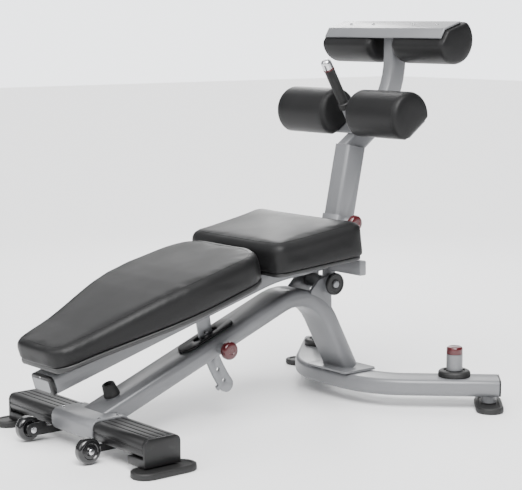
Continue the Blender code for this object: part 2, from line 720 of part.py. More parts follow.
def build_upper_beam(upper, paint, plastic):
    section = rounded_rectangle(*UPPER_TUBE, UPPER_TUBE_CORNER)
    beam = add("upper_beam", side_sweep(upper_path(), section), paint, upper)
    cut(beam, socket_solid(GAP), upper)

    x, z = CROSSBAR_PLACE
    thick, high = CROSSBAR_SECTION
    root = UPPER_TUBE[0] / 2 + GAP
    length = CROSSBAR_HALF_SPAN - root
    for name, side in sides():
        place = (x, side * (root + length / 2), z)
        soften(add("crossbar_" + name, block((0, 0, 0), (thick, length, high)), paint, upper, place), 0.004)

    x, z = along_slope(UPPER_LOW_END, BACK_SLOPE, -GAP - LOW_CAP_THICKNESS, 0)
    outline = [(b, a) for a, b in rounded_rectangle(*UPPER_TUBE[::-1], UPPER_TUBE_CORNER)]
    cap = add("low_end_cap", prism(outline, 0, LOW_CAP_THICKNESS, "X"), plastic, upper,
              (x, 0, z), tilt=-math.degrees(BACK_SLOPE))
    soften(cap, 0.003)

    hub_half = EAR_INNER - RUNNING_GAP
    hub = add("pivot_hub", disc(PIVOT, HUB_RADIUS, -hub_half, hub_half), paint, upper)
    low, high = LUG_STATIONS
    for _, side in sides():
        middle = side * (hub_half - LUG_THICKNESS / 2)
        lug = block(((low + high) / 2, middle, PIVOT[1] + 0.03), (high - low, LUG_THICKNESS, 0.06))
        join(hub, lug, upper)
    cut(hub, side_sweep(upper_path(), grown_tube(UPPER_TUBE, UPPER_TUBE_CORNER, GAP)), upper)
    cut(hub, socket_solid(GAP), upper)
    cut(hub, disc(PIVOT, SHAFT_RADIUS + RUNNING_GAP, -1, 1), upper)


def build_strap(upper, steel):
    inner, outer = STRAP_RADIUS - STRAP_WIDTH / 2, STRAP_RADIUS + STRAP_WIDTH / 2
    tab_start, tab_end, tab_reach = STRAP_TAB
    step = 2.0
    count = int((tab_start - STRAP_START) / step)
    edge = [STRAP_START + step * index for index in range(count + 1)]
    round_end = math.degrees(STRAP_WIDTH / 2 / STRAP_RADIUS)
    last = STRAP_END - round_end
    outline = [polar(angle, inner) for angle in edge + [tab_start, last]]
    end_x, end_z = polar(last, STRAP_RADIUS)
    outline += [(end_x + px, end_z + pz) for px, pz in
                arc((0, 0), STRAP_WIDTH / 2, last, last - 180, 8)][1:-1]
    outline += [polar(last, outer), polar(tab_end, outer), polar(tab_end, outer + tab_reach)]
    outline += [polar(tab_start, outer + tab_reach)]
    outline += [polar(angle, outer) for angle in [tab_start] + edge[::-1]]
    half = STRAP_THICKNESS / 2
    strap = add("decline_strap", prism(outline, -half, half, "Y"), steel, upper)
    cut(strap, side_sweep(upper_path(), grown_tube(UPPER_TUBE, UPPER_TUBE_CORNER, GAP)), upper)
    for angle in STRAP_HOLES:
        cut(strap, disc(polar(angle, STRAP_RADIUS), STRAP_HOLE_RADIUS, -1, 1, steps=20), upper)


def back_half_width(distance):
    width = smooth_between([(0.16, 0.118), (0.60, 0.196), (0.86, 0.190)], distance)
    for end, corner in ((distance - BACK_START, BACK_LOW_CORNER), (BACK_END - distance, BACK_HIGH_CORNER)):
        if end < corner:
            width -= corner - math.sqrt(max(corner ** 2 - (corner - end) ** 2, 0))
    return width


def back_stations(inset):
    # Close together round both ends' corners, then even.
    length = BACK_END - BACK_START - 2 * inset
    low = [BACK_LOW_CORNER * (1 - math.cos(math.radians(angle))) for angle in (0, 30, 60, 90)]
    high = [length - BACK_HIGH_CORNER * (1 - math.cos(math.radians(angle))) for angle in (90, 70, 50, 30, 0)]
    between = [low[-1] + (high[0] - low[-1]) * step / 8 for step in range(1, 8)]
    return [BACK_START + inset + place for place in low + between + high]


def back_body(inset, floor, top_height):
    # Sections square to the slope, from the low end up; floor and top are heights square to it.
    slope = BACK_SLOPE
    rings = []
    for distance in back_stations(inset):
        half = back_half_width(distance) - inset
        top = top_height(distance)
        corner = min(0.022, (top - floor) * 0.4)
        section = rounded_rectangle(2 * half, top - floor, corner)
        ring = []
        for across, up in section:
            x, z = along_slope((0, 0), slope, distance, (top + floor) / 2 + up)
            ring.append((x, across, z))
        rings.append(ring)
    return loft(rings)


def cushion_top(distance):
    crown = smooth_between([(0.16, 0.048), (0.58, 0.084), (0.84, 0.074)], distance)
    return BACK_PAN_FLOOR + BACK_PAN_THICKNESS + crown


def build_back_pad(upper, plastic, vinyl, paint):
    pan_top = BACK_PAN_FLOOR + BACK_PAN_THICKNESS
    pan = back_body(BACK_PAN_INSET, BACK_PAN_FLOOR, lambda distance: pan_top)
    add("back_pan", pan, plastic, upper)
    add("back_cushion", back_body(0, pan_top + GAP, cushion_top), vinyl, upper)

    length, width = BACK_MOUNT
    slope = math.degrees(BACK_SLOPE)
    beam_top = UPPER_TUBE[1] / 2 + GAP
    middle = 0.40
    start = along_slope(UPPER_LOW_END, BACK_SLOPE, middle, beam_top)
    ceiling = BACK_PAN_FLOOR - GAP
    low_clear = min(ceiling - height_above_toe(start, BACK_SLOPE, reach) for reach in (-length / 2, length / 2))
    mount = prism(rounded_rectangle(length, width, 0.008), 0, low_clear)
    add("back_mount", mount, paint, upper, (start.x, 0, start.y), tilt=-slope)


def height_above_toe(start, slope, reach):
    # How high a point along the beam's top stands, square to the pad's slope.
    x, z = along_slope(start, slope, reach, 0)
    pad_slope = BACK_SLOPE
    return z * math.cos(pad_slope) - x * math.sin(pad_slope)


def seat_outline(inset, front, rear):
    lean = (SEAT_REAR_HALF_WIDTH - SEAT_FRONT_HALF_WIDTH) / SEAT_LENGTH
    low = SEAT_FRONT_HALF_WIDTH - inset + lean * (front + SEAT_OVERHANG)
    high = SEAT_FRONT_HALF_WIDTH - inset + lean * (rear + SEAT_OVERHANG)
    corner = max(SEAT_CORNER - inset, 0.004)
    return rounded_outline([(front, -low, corner), (rear, -high, corner), (rear, high, corner), (front, low, corner)])


def build_seat(upper, plastic, vinyl, paint):
    placing = {"place": (SEAT_PLACE[0], 0, SEAT_PLACE[1]), "tilt": -SEAT_SLOPE}
    front, rear = -SEAT_OVERHANG, SEAT_LENGTH - SEAT_OVERHANG
    pan_outline = seat_outline(SEAT_PAN_INSET, front + SEAT_PAN_INSET, rear - SEAT_PAN_INSET)
    pan = add("seat_pan", prism(pan_outline, 0, SEAT_PAN_THICKNESS), plastic, upper, **placing)
    soften(pan, 0.003)

    def top(x):
        share = (x - front) / SEAT_LENGTH
        return SEAT_PAN_THICKNESS + SEAT_FRONT_RISE + (SEAT_REAR_RISE - SEAT_FRONT_RISE) * share

    floor = SEAT_PAN_THICKNESS + GAP
    rings = [[(x, y, floor) for x, y in seat_outline(0.003, front + 0.003, rear - 0.003)]]
    rings.append([(x, y, floor + 0.006) for x, y in seat_outline(0, front, rear)])
    for angle in (0, 22.5, 45, 67.5, 90):
        drop = SEAT_EDGE_ROUND * (1 - math.sin(math.radians(angle)))
        inset = SEAT_EDGE_ROUND * (1 - math.cos(math.radians(angle)))
        outline = seat_outline(inset, front + inset, rear - inset)
        rings.append([(x, y, top(x) - drop) for x, y in outline])
    add("seat_cushion", loft(rings), vinyl, upper, **placing)

    length, width = SEAT_MOUNT
    start = along_slope(UPPER_REAR_END, upper_rear_slope(), -0.145, UPPER_TUBE[1] / 2 + GAP)
    clear = 1.0
    for reach in (-length / 2, length / 2):
        x, z = along_slope(start, upper_rear_slope(), reach, 0)
        pan_height = SEAT_PLACE[1] + (x - SEAT_PLACE[0]) * math.tan(math.radians(SEAT_SLOPE))
        clear = min(clear, pan_height - z)
    mount = prism(rounded_rectangle(length, width, 0.006), 0, clear - 2 * GAP)
    add("seat_mount", mount, paint, upper, (start.x, 0, start.y), tilt=-math.degrees(upper_rear_slope()))


def upper_rear_slope():
    return math.atan2(UPPER_REAR_END[1] - UPPER_BEND[1], UPPER_REAR_END[0] - UPPER_BEND[0])


def tower_point(height):
    lean = (TOWER_TOP[0] - TOWER_FOOT[0]) / (TOWER_TOP[1] - TOWER_FOOT[1])
    return (TOWER_FOOT[0] + (height - TOWER_FOOT[1]) * lean, height)


def socket_solid(growth):
    low, high = SOCKET_HEIGHTS
    wall = RUNNING_GAP + SOCKET_WALL + growth
    path = [Vector(tower_point(low - growth)), Vector(tower_point(high + growth))]
    return side_sweep(path, grown_tube(TOWER_TUBE, TOWER_TUBE_CORNER, wall))


def build_socket(upper, paint):
    socket = add("tower_socket", socket_solid(0), paint, upper)
    bore = grown_tube(TOWER_TUBE, TOWER_TUBE_CORNER, RUNNING_GAP)
    cut(socket, side_sweep([Vector(tower_point(0.3)), Vector(tower_point(0.7))], bore), upper)
    face = TOWER_TUBE[0] / 2 + RUNNING_GAP
    place = tower_point(TOWER_PIN_HEIGHT)
    join(socket, disc(place, PIN_HOUSING_RADIUS, -face - TOWER_KNOB_STANDOFF, -face - SOCKET_WALL / 2), upper)
    cut(socket, disc(place, PIN_RADIUS + RUNNING_GAP, -1, 0), upper)


def pull_pin(nose, seat_face, knob_radius, knob_length):
    # Turned pull pin on -Y: nose inward, knob resting on the housing's face.
    inner, outer = seat_face + RUNNING_GAP, seat_face + RUNNING_GAP + knob_length
    waist = knob_radius * 0.55
    profile = [(PIN_RADIUS - 0.001, nose), (PIN_RADIUS, nose + 0.001), (PIN_RADIUS, inner),
               (waist, inner), (waist, inner + knob_length * 0.25), (knob_radius - 0.002, inner + knob_length * 0.4),
               (knob_radius, inner + knob_length * 0.5), (knob_radius, outer - 0.006)]
    profile += arc((knob_radius - 0.006, outer - 0.006), 0.006, 30, 90, 2)
    return turned([(radius, -height) for radius, height in profile], "Y")


def build_pins(decline, tower_pin, red):
    seat_face = MAIN_TUBE[0] / 2 + PIN_HOUSING_LENGTH
    nose = STRAP_THICKNESS / 2 + PIN_CLEARANCE
    knob = pull_pin(nose, seat_face, KNOB_RADIUS, KNOB_LENGTH)
    add("decline_pin", knob, red, decline, decline.location)
    seat_face = TOWER_TUBE[0] / 2 + RUNNING_GAP + TOWER_KNOB_STANDOFF
    nose = TOWER_TUBE[0] / 2 + PIN_CLEARANCE
    knob = pull_pin(nose, seat_face, TOWER_KNOB_RADIUS, TOWER_KNOB_LENGTH)
    add("tower_pin", knob, red, tower_pin, tower_pin.location)


def neck_direction():
    return math.radians(NECK_SLOPE)


def neck_path():
    rise = (NECK_STATION - NECK_START[0]) * math.tan(neck_direction())
    corner = (NECK_STATION, NECK_START[1] + rise)
    return bent_path(NECK_START, corner, (NECK_STATION, NECK_TOP), NECK_BEND_RADIUS)


def build_tower(tower, paint):
    section = rounded_rectangle(*TOWER_TUBE, TOWER_TUBE_CORNER)
    post = add("tower", side_sweep([Vector(TOWER_FOOT), Vector(TOWER_TOP)], section), paint, tower)
    neck = side_sweep(neck_path(), rounded_rectangle(*NECK_TUBE, NECK_TUBE_CORNER))
    join(post, neck, tower)
    back, bend = Vector(UPPER_PLATE_BACK), Vector(UPPER_PLATE_BEND)
    along = (back - bend).normalized()
    under = Vector((along.y, -along.x)) * (PLATE_THICKNESS + GAP)
    low, high = bend - along * 0.08 + under, back + along * 0.05 + under
    roof = [low, high, (high.x, high.y + 0.2), (low.x, high.y + 0.2)]
    cut(post, prism(roof, -0.1, 0.1, "Y"), tower)
    for index in range(4):
        place = along_slope(tower_point(TOWER_PIN_HEIGHT), tower_slope(), -index * TOWER_HOLE_PITCH, 0)
        face = TOWER_TUBE[0] / 2
        cut(post, disc(place, PIN_RADIUS + RUNNING_GAP, -face - 0.01, 0.015 - face, steps=20), tower)


def tower_slope():
    return math.atan2(TOWER_TOP[1] - TOWER_FOOT[1], TOWER_TOP[0] - TOWER_FOOT[0])


def lower_plate_place(height):
    top = NECK_TUBE[1] / 2 + WELD_GAP
    return along_slope(NECK_START, neck_direction(), LOWER_PLATE_MIDDLE, top + height)


def build_leg_pads(tower, paint, vinyl):
    x, z = lower_plate_place(PLATE_THICKNESS / 2)
    size = (LOWER_PLATE_LENGTH, 2 * PLATE_HALF_SPAN, PLATE_THICKNESS)
    lower = add("lower_pad_plate", block((0, 0, 0), size), paint, tower, (x, 0, z), tilt=-NECK_SLOPE)
    soften(lower, 0.002, 1)

    path = [Vector(point) for point in (UPPER_PLATE_FRONT, UPPER_PLATE_BEND, UPPER_PLATE_BACK)]
    strip = [(PLATE_HALF_SPAN, -PLATE_THICKNESS), (PLATE_HALF_SPAN, 0), (-PLATE_HALF_SPAN, 0),
             (-PLATE_HALF_SPAN, -PLATE_THICKNESS)]
    upper = add("upper_pad_plate", side_sweep(path, strip), paint, tower)
    soften(upper, 0.002, 1, angle=60)

    square = NECK_SLOPE - 90
    toward_plate = Vector((math.cos(math.radians(square)), math.sin(math.radians(square))))
    distance = (lower_plate_place(PLATE_THICKNESS) - Vector(LOWER_PAD_CENTRE)).dot(toward_plate) - GAP
    add_pads("lower", LOWER_PAD_CENTRE, LOWER_PAD_RADIUS, [(square, distance)], tower, vinyl)

    flats = []
    for start, end in ((path[1], path[2]), (path[0], path[1])):
        along = (end - start).normalized()
        square = Vector((-along.y, along.x))
        distance = (start - Vector(UPPER_PAD_CENTRE)).dot(square) - PLATE_THICKNESS - GAP
        flats.append((math.degrees(math.atan2(square.y, square.x)), distance))
    add_pads("upper", UPPER_PAD_CENTRE, UPPER_PAD_RADIUS, flats, tower, vinyl)


def add_pads(level, centre, radius, flats, tower, vinyl):
    x, z = centre
    full = flat_sided_round(radius, flats, 24)
    for name, side in sides():
        rings = []
        for angle in (0, 30, 60, 90):
            inset = PAD_END_ROUND * (1 - math.sin(math.radians(angle)))
            depth = PAD_END_ROUND * (1 - math.cos(math.radians(angle)))
            rings.append((1 - inset / radius, PAD_INNER + depth))
        rings += [(scale, PAD_INNER + PAD_OUTER - place) for scale, place in reversed(rings)]
        body = loft([[(px * scale, side * place, pz * scale) for px, pz in full] for scale, place in rings])
        add(level + "_pad_" + name, body, vinyl, tower, (x, 0, z))


def build_handle(tower, paint, plastic, steel):
    placing = {"tilt": -HANDLE_LEAN}
    lean = math.radians(HANDLE_LEAN)
    tip = Vector((HANDLE_TIP[0], 0, HANDLE_TIP[1]))
    down = Vector((math.sin(lean), 0, -math.cos(lean)))

    cap_start = tip + down * HANDLE_CAP_LENGTH
    dome = [(GRIP_RADIUS, GAP), (GRIP_RADIUS, HANDLE_CAP_LENGTH - 0.012)]
    dome += arc((GRIP_RADIUS - 0.012, HANDLE_CAP_LENGTH - 0.012), 0.012, 22.5, 90, 3)
    add("handle_cap", turned(dome, steps=24), steel, tower, cap_start, **placing)

    grip_start = cap_start + down * GRIP_LENGTH
    profile = [(COLLAR_RADIUS - 0.002, 0), (COLLAR_RADIUS, 0.002), (COLLAR_RADIUS, COLLAR_LENGTH - 0.002)]
    profile += [(GRIP_RADIUS - 0.002, COLLAR_LENGTH), (GRIP_RADIUS, COLLAR_LENGTH + 0.004), (GRIP_RADIUS, GRIP_LENGTH)]
    add("handle_grip", turned(profile, steps=24), plastic, tower, grip_start, **placing)

    # The stem ends on the lower pads' plate, cut to the plate's slope.
    stem = turned([(STEM_RADIUS, -0.2), (STEM_RADIUS, -GAP)], steps=20)
    stem_piece = add("handle_stem", stem, paint, tower, grip_start, **placing)
    x, z = lower_plate_place(PLATE_THICKNESS + GAP - 0.1)
    cut(stem_piece, block((0, 0, 0), (0.4, 0.1, 0.2)), tower, place=(x, 0, z), tilt=-NECK_SLOPE)


def build_bench():
    clear_scene()
    paint = make_material("silver paint", (0.60, 0.61, 0.63), 0.38, 0.25)
    vinyl = make_material("black vinyl", (0.022, 0.022, 0.024), 0.45, 0.0)
    plastic = make_material("black plastic", (0.018, 0.018, 0.020), 0.42, 0.0)
    rubber = make_material("black rubber", (0.015, 0.015, 0.016), 0.75, 0.0)
    red = make_material("dark red plastic", (0.22, 0.006, 0.020), 0.32, 0.0)
    steel = make_material("bright steel", (0.72, 0.72, 0.74), 0.22, 1.0)

    bench = make_group("bench", (-MIDDLE_STATION, 0, 0))
    base = make_group("base", (0, 0, 0), bench)
    upper = make_group("upper_frame", (PIVOT[0], 0, PIVOT[1]), bench)
    tower_x, tower_z = TOWER_FOOT
    tower = make_group("tower_slide", (tower_x, 0, tower_z), bench)
    pin_x, pin_z = polar(PIN_ANGLE, STRAP_RADIUS)
    decline = make_group("decline_pull", (pin_x, 0, pin_z), bench)
    pull_x, pull_z = tower_point(TOWER_PIN_HEIGHT)
    tower_pull = make_group("tower_pull", (pull_x, 0, pull_z), bench)
    wheels = {name: make_group("axle_" + name, (WHEEL_STATION, side * WHEEL_OFFSET, WHEEL_HEIGHT), bench)
              for name, side in sides()}

    build_front_foot(base, paint, plastic, rubber, steel)
    build_wheels(wheels, plastic)
    build_main_beam(base, paint)
    build_beam_fittings(base, paint, plastic, rubber)
    build_pivot(base, paint, plastic, steel)
    build_rear_bow(base, paint, plastic, rubber, red)
    build_upper_beam(upper, paint, plastic)
    build_strap(upper, steel)
    build_back_pad(upper, plastic, vinyl, paint)
    build_seat(upper, plastic, vinyl, paint)
    build_socket(upper, paint)
    build_tower(tower, paint)
    build_leg_pads(tower, paint, vinyl)
    build_handle(tower, paint, plastic, steel)
    build_pins(decline, tower_pull, red)
    shade_round_pieces()


build_bench()
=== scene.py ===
import json
import math

import bmesh
import bpy
from mathutils import Matrix, Vector
from mathutils.bvhtree import BVHTree


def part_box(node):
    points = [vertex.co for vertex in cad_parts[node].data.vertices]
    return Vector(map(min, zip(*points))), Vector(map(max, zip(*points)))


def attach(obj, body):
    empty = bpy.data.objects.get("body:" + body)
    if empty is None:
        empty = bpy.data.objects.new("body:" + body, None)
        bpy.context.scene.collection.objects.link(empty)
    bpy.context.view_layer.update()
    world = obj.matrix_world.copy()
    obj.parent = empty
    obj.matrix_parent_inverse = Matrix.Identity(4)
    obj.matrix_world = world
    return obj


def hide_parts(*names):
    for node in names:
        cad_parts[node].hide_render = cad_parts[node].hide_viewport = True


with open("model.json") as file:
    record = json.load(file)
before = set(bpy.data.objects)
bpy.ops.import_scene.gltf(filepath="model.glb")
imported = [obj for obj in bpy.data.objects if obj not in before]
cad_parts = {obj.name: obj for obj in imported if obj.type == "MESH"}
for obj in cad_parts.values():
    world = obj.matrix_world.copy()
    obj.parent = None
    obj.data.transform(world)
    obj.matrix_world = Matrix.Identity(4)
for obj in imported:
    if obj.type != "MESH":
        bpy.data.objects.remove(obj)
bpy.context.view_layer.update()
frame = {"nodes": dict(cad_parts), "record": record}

bodyOf = {node: body for body, nodes in frame["record"]["behaviour"]["bodies"].items() for node in nodes}
slotOf = {entry["node"]: entry["material_slot"] for entry in frame["record"]["subparts"]}
sides = ("left", "right")
along = Vector((0, 1, 0))


# camera, light and floor

studio = {
    "cameraPlace": (-2.773, -3.4597, 1.127), "tiltDown": 8.0953, "heading": 39.4454, "lens": 108.9,
    "floorTone": (0.93, 0.93, 0.935), "backdrop": 3.2, "roomTone": (0.95, 0.97, 1.0), "roomStrength": 0.26,
}
suns = {
    "keySun": {"towards": (0.55, 0.75, -1.35), "strength": 5.6, "spread": 40},
    "fillSun": {"towards": (0.9, -0.2, -0.8), "strength": 2.2, "spread": 60},
    "rearSun": {"towards": (-0.9, -0.9, -1.1), "strength": 1.7, "spread": 60},
}
lamps = {
    "keyPanel": {"place": (-1.6, -2.4, 2.6), "aim": (0.0, 0.0, 0.4), "size": (1.6, 1.0), "watts": 45},
    "rearStrip": {"place": (2.0, 2.2, 2.0), "aim": (0.3, 0.0, 0.6), "size": (0.5, 2.0), "watts": 30},
}


def aimed(place, aim):
    return (Vector(aim) - Vector(place)).to_track_quat("-Z", "Y").to_euler()


def buildStudio():
    camera = bpy.data.objects.new("benchCamera", bpy.data.cameras.new("benchCamera"))
    bpy.context.scene.collection.objects.link(camera)
    camera.location = studio["cameraPlace"]
    camera.rotation_euler = (math.radians(90 - studio["tiltDown"]), 0, -math.radians(studio["heading"]))
    camera.data.lens = studio["lens"]
    camera.data.sensor_width = 36
    bpy.context.scene.camera = camera
    for name, lamp in lamps.items():
        data = bpy.data.lights.new(name, "AREA")
        data.shape = "RECTANGLE"
        data.size, data.size_y = lamp["size"]
        data.energy = lamp["watts"]
        light = bpy.data.objects.new(name, data)
        light.location = lamp["place"]
        light.rotation_euler = aimed(lamp["place"], lamp["aim"])
        bpy.context.scene.collection.objects.link(light)
    for name, sun in suns.items():
        data = bpy.data.lights.new(name, "SUN")
        data.energy = sun["strength"]
        data.angle = math.radians(sun["spread"])
        light = bpy.data.objects.new(name, data)
        light.rotation_euler = Vector(sun["towards"]).to_track_quat("-Z", "Y").to_euler()
        bpy.context.scene.collection.objects.link(light)
    world = bpy.data.worlds.new("paleRoom")
    world.use_nodes = True
    tree = world.node_tree
    background = tree.nodes["Background"]
    background.inputs["Color"].default_value = (*studio["roomTone"], 1)
    strength = tree.nodes.new("ShaderNodeMapRange")  # a white backdrop, with a dim room for reflections
    strength.inputs["To Min"].default_value = studio["roomStrength"]
    strength.inputs["To Max"].default_value = studio["backdrop"]
    tree.links.new(tree.nodes.new("ShaderNodeLightPath").outputs["Is Camera Ray"], strength.inputs["Value"])
    tree.links.new(strength.outputs["Result"], background.inputs["Strength"])
    bpy.context.scene.world = world
    bpy.ops.mesh.primitive_plane_add(size=40)
    floor = bpy.context.object
    floor.name = "paleFloor"
    finish = bpy.data.materials.new("paleFloor")
    finish.use_nodes = True
    shader = finish.node_tree.nodes["Principled BSDF"]
    shader.inputs["Base Color"].default_value = (*studio["floorTone"], 1)
    shader.inputs["Roughness"].default_value = 0.7
    floor.data.materials.append(finish)
    print("studio ready")


# finishes

def groupTree(name, inputs, outputs):
    tree = bpy.data.node_groups.new(name, "ShaderNodeTree")
    for title, kind, value in inputs:
        socket = tree.interface.new_socket(title, in_out="INPUT", socket_type=kind)
        socket.default_value = value
    for title, kind in outputs:
        tree.interface.new_socket(title, in_out="OUTPUT", socket_type=kind)
    return tree, tree.nodes.new("NodeGroupInput"), tree.nodes.new("NodeGroupOutput")


def math2(tree, operation, first, second):
    node = tree.nodes.new("ShaderNodeMath")
    node.operation = operation
    for socket, value in zip(node.inputs, (first, second)):
        if isinstance(value, (int, float)):
            socket.default_value = value
        else:
            tree.links.new(value, socket)
    return node.outputs[0]


def noiseAt(tree, vector, scale, detail=3):
    node = tree.nodes.new("ShaderNodeTexNoise")
    tree.links.new(vector, node.inputs["Vector"])
    node.inputs["Detail"].default_value = detail
    if isinstance(scale, (int, float)):
        node.inputs["Scale"].default_value = scale
    else:
        tree.links.new(scale, node.inputs["Scale"])
    return node.outputs["Fac"]


def spread(tree, value, low, high, start, end):
    node = tree.nodes.new("ShaderNodeMapRange")
    tree.links.new(value, node.inputs["Value"])
    for title, number in (("From Min", low), ("From Max", high)):
        node.inputs[title].default_value = number
    for title, number in (("To Min", start), ("To Max", end)):
        if isinstance(number, (int, float)):
            node.inputs[title].default_value = number
        else:
            tree.links.new(number, node.inputs[title])
    return node.outputs["Result"]


def mixTone(tree, factor, first, second):
    node = tree.nodes.new("ShaderNodeMix")
    node.data_type = "RGBA"
    tree.links.new(factor, node.inputs["Factor"])
    tree.links.new(first, node.inputs["A"])
    tree.links.new(second, node.inputs["B"])
    return node.outputs["Result"]


def makeHandlingGroup():
    # broad tone drift and small scuffs that every finish shares
    tree, start, end = groupTree("handlingMarks", [
        ("Tone", "NodeSocketColor", (0.5, 0.5, 0.5, 1)), ("Drift tone", "NodeSocketColor", (0.4, 0.4, 0.4, 1)),
        ("Scuff tone", "NodeSocketColor", (0.7, 0.7, 0.7, 1)), ("Drift scale", "NodeSocketFloat", 6.0),
        ("Scuff amount", "NodeSocketFloat", 0.2), ("Roughness", "NodeSocketFloat", 0.4),
        ("Roughness drift", "NodeSocketFloat", 0.08)],
        [("Tone", "NodeSocketColor"), ("Roughness", "NodeSocketFloat"), ("Scuffs", "NodeSocketFloat")])
    place = tree.nodes.new("ShaderNodeTexCoord").outputs["Object"]
    drift = spread(tree, noiseAt(tree, place, start.outputs["Drift scale"]), 0.35, 0.65, 0, 1)
    tone = mixTone(tree, drift, start.outputs["Tone"], start.outputs["Drift tone"])
    streaks = tree.nodes.new("ShaderNodeMapping")
    streaks.inputs["Scale"].default_value = (30, 220, 30)
    tree.links.new(place, streaks.inputs["Vector"])
    scuffs = spread(tree, noiseAt(tree, streaks.outputs[0], 1.0, 5), 0.66, 0.74, 0, 1)
    scuffs = math2(tree, "MULTIPLY", scuffs, start.outputs["Scuff amount"])
    tone = mixTone(tree, scuffs, tone, start.outputs["Scuff tone"])
    rough = math2(tree, "MULTIPLY_ADD", drift, start.outputs["Roughness drift"])
    rough.node.inputs[2].default_value = 0
    tree.links.new(start.outputs["Roughness"], rough.node.inputs[2])
    tree.links.new(tone, end.inputs["Tone"])
    tree.links.new(rough, end.inputs["Roughness"])
    tree.links.new(scuffs, end.inputs["Scuffs"])
    return tree


def makeGrainGroup():
    # pebbled grain: cells for leather-like vinyl, fine noise for moulded plastic and powder coat
    tree, start, end = groupTree("pebbleGrain", [
        ("Cell scale", "NodeSocketFloat", 400.0), ("Cell share", "NodeSocketFloat", 1.0),
        ("Noise scale", "NodeSocketFloat", 900.0), ("Noise share", "NodeSocketFloat", 0.3)],
        [("Height", "NodeSocketFloat")])
    place = tree.nodes.new("ShaderNodeTexCoord").outputs["Object"]
    cells = tree.nodes.new("ShaderNodeTexVoronoi")
    cells.feature = "SMOOTH_F1"
    tree.links.new(place, cells.inputs["Vector"])
    tree.links.new(start.outputs["Cell scale"], cells.inputs["Scale"])
    pebbles = math2(tree, "MULTIPLY", cells.outputs["Distance"], start.outputs["Cell share"])
    noise = noiseAt(tree, place, start.outputs["Noise scale"])
    fine = math2(tree, "MULTIPLY", noise, start.outputs["Noise share"])
    tree.links.new(math2(tree, "ADD", pebbles, fine), end.inputs["Height"])
    return tree


finishes = {
    "silverPaint": {"tone": (0.165, 0.168, 0.175), "drift": (0.150, 0.153, 0.160), "scuff": (0.22, 0.225, 0.23),
                    "scuffAmount": 0.18, "roughness": 0.38, "metallic": 0.15, "cells": (900, 0.2),
                    "noise": (1600, 0.5), "bump": 0.06, "depth": 0.0006, "coat": 0.25, "coatRough": 0.2},
    "blackVinyl": {"tone": (0.0065, 0.0065, 0.0068), "drift": (0.0085, 0.0085, 0.0088),
                   "scuff": (0.015, 0.015, 0.0155),
                   "scuffAmount": 0.15, "roughness": 0.44, "metallic": 0.0, "cells": (520, 0.8),
                   "noise": (1200, 0.4), "bump": 0.16, "depth": 0.0008, "coat": 0.0, "coatRough": 0.3,
                   "specular": 0.24},
    "blackPlastic": {"tone": (0.0065, 0.0065, 0.0068), "drift": (0.009, 0.009, 0.0094), "scuff": (0.03, 0.03, 0.03),
                     "scuffAmount": 0.25, "roughness": 0.36, "metallic": 0.0, "cells": (1100, 0.3),
                     "noise": (2200, 0.6), "bump": 0.10, "depth": 0.0006, "coat": 0.0, "coatRough": 0.3,
                     "specular": 0.4},
    "blackRubber": {"tone": (0.0065, 0.0065, 0.0065), "drift": (0.010, 0.010, 0.010), "scuff": (0.03, 0.03, 0.03),
                    "scuffAmount": 0.3, "roughness": 0.55, "metallic": 0.0, "cells": (700, 0.3),
                    "noise": (1500, 0.8), "bump": 0.15, "depth": 0.0006, "coat": 0.0, "coatRough": 0.3},
    "panGrey": {"tone": (0.018, 0.018, 0.0185), "drift": (0.022, 0.022, 0.0225), "scuff": (0.08, 0.08, 0.08),
                "scuffAmount": 0.2, "roughness": 0.42, "metallic": 0.0, "cells": (1100, 0.3),
                "noise": (2200, 0.6), "bump": 0.10, "depth": 0.0006, "coat": 0.0, "coatRough": 0.3},
    "glossBlack": {"tone": (0.005, 0.005, 0.0055), "drift": (0.007, 0.007, 0.0074), "scuff": (0.05, 0.05, 0.05),
                   "scuffAmount": 0.2, "roughness": 0.16, "metallic": 0.0, "cells": (300, 0.1),
                   "noise": (900, 0.2), "bump": 0.03, "depth": 0.0004, "coat": 0.5, "coatRough": 0.1},
    "darkRed": {"tone": (0.062, 0.0008, 0.0035), "drift": (0.050, 0.0006, 0.0028), "scuff": (0.12, 0.012, 0.016),
                "scuffAmount": 0.15, "roughness": 0.26, "metallic": 0.0, "cells": (500, 0.1),
                "noise": (1200, 0.3), "bump": 0.04, "depth": 0.0004, "coat": 0.5, "coatRough": 0.12},
    "brightSteel": {"tone": (0.66, 0.66, 0.67), "drift": (0.58, 0.58, 0.60), "scuff": (0.40, 0.40, 0.41),
                    "scuffAmount": 0.3, "roughness": 0.20, "metallic": 1.0, "cells": (800, 0.05),
                    "noise": (2000, 0.4), "bump": 0.05, "depth": 0.0003, "coat": 0.0, "coatRough": 0.3},
    "zincPlate": {"tone": (0.26, 0.265, 0.275), "drift": (0.22, 0.225, 0.235), "scuff": (0.30, 0.30, 0.31),
                  "scuffAmount": 0.35, "roughness": 0.34, "metallic": 0.6, "cells": (600, 0.1),
                  "noise": (1500, 0.4), "bump": 0.06, "depth": 0.0004, "coat": 0.0, "coatRough": 0.3},
}


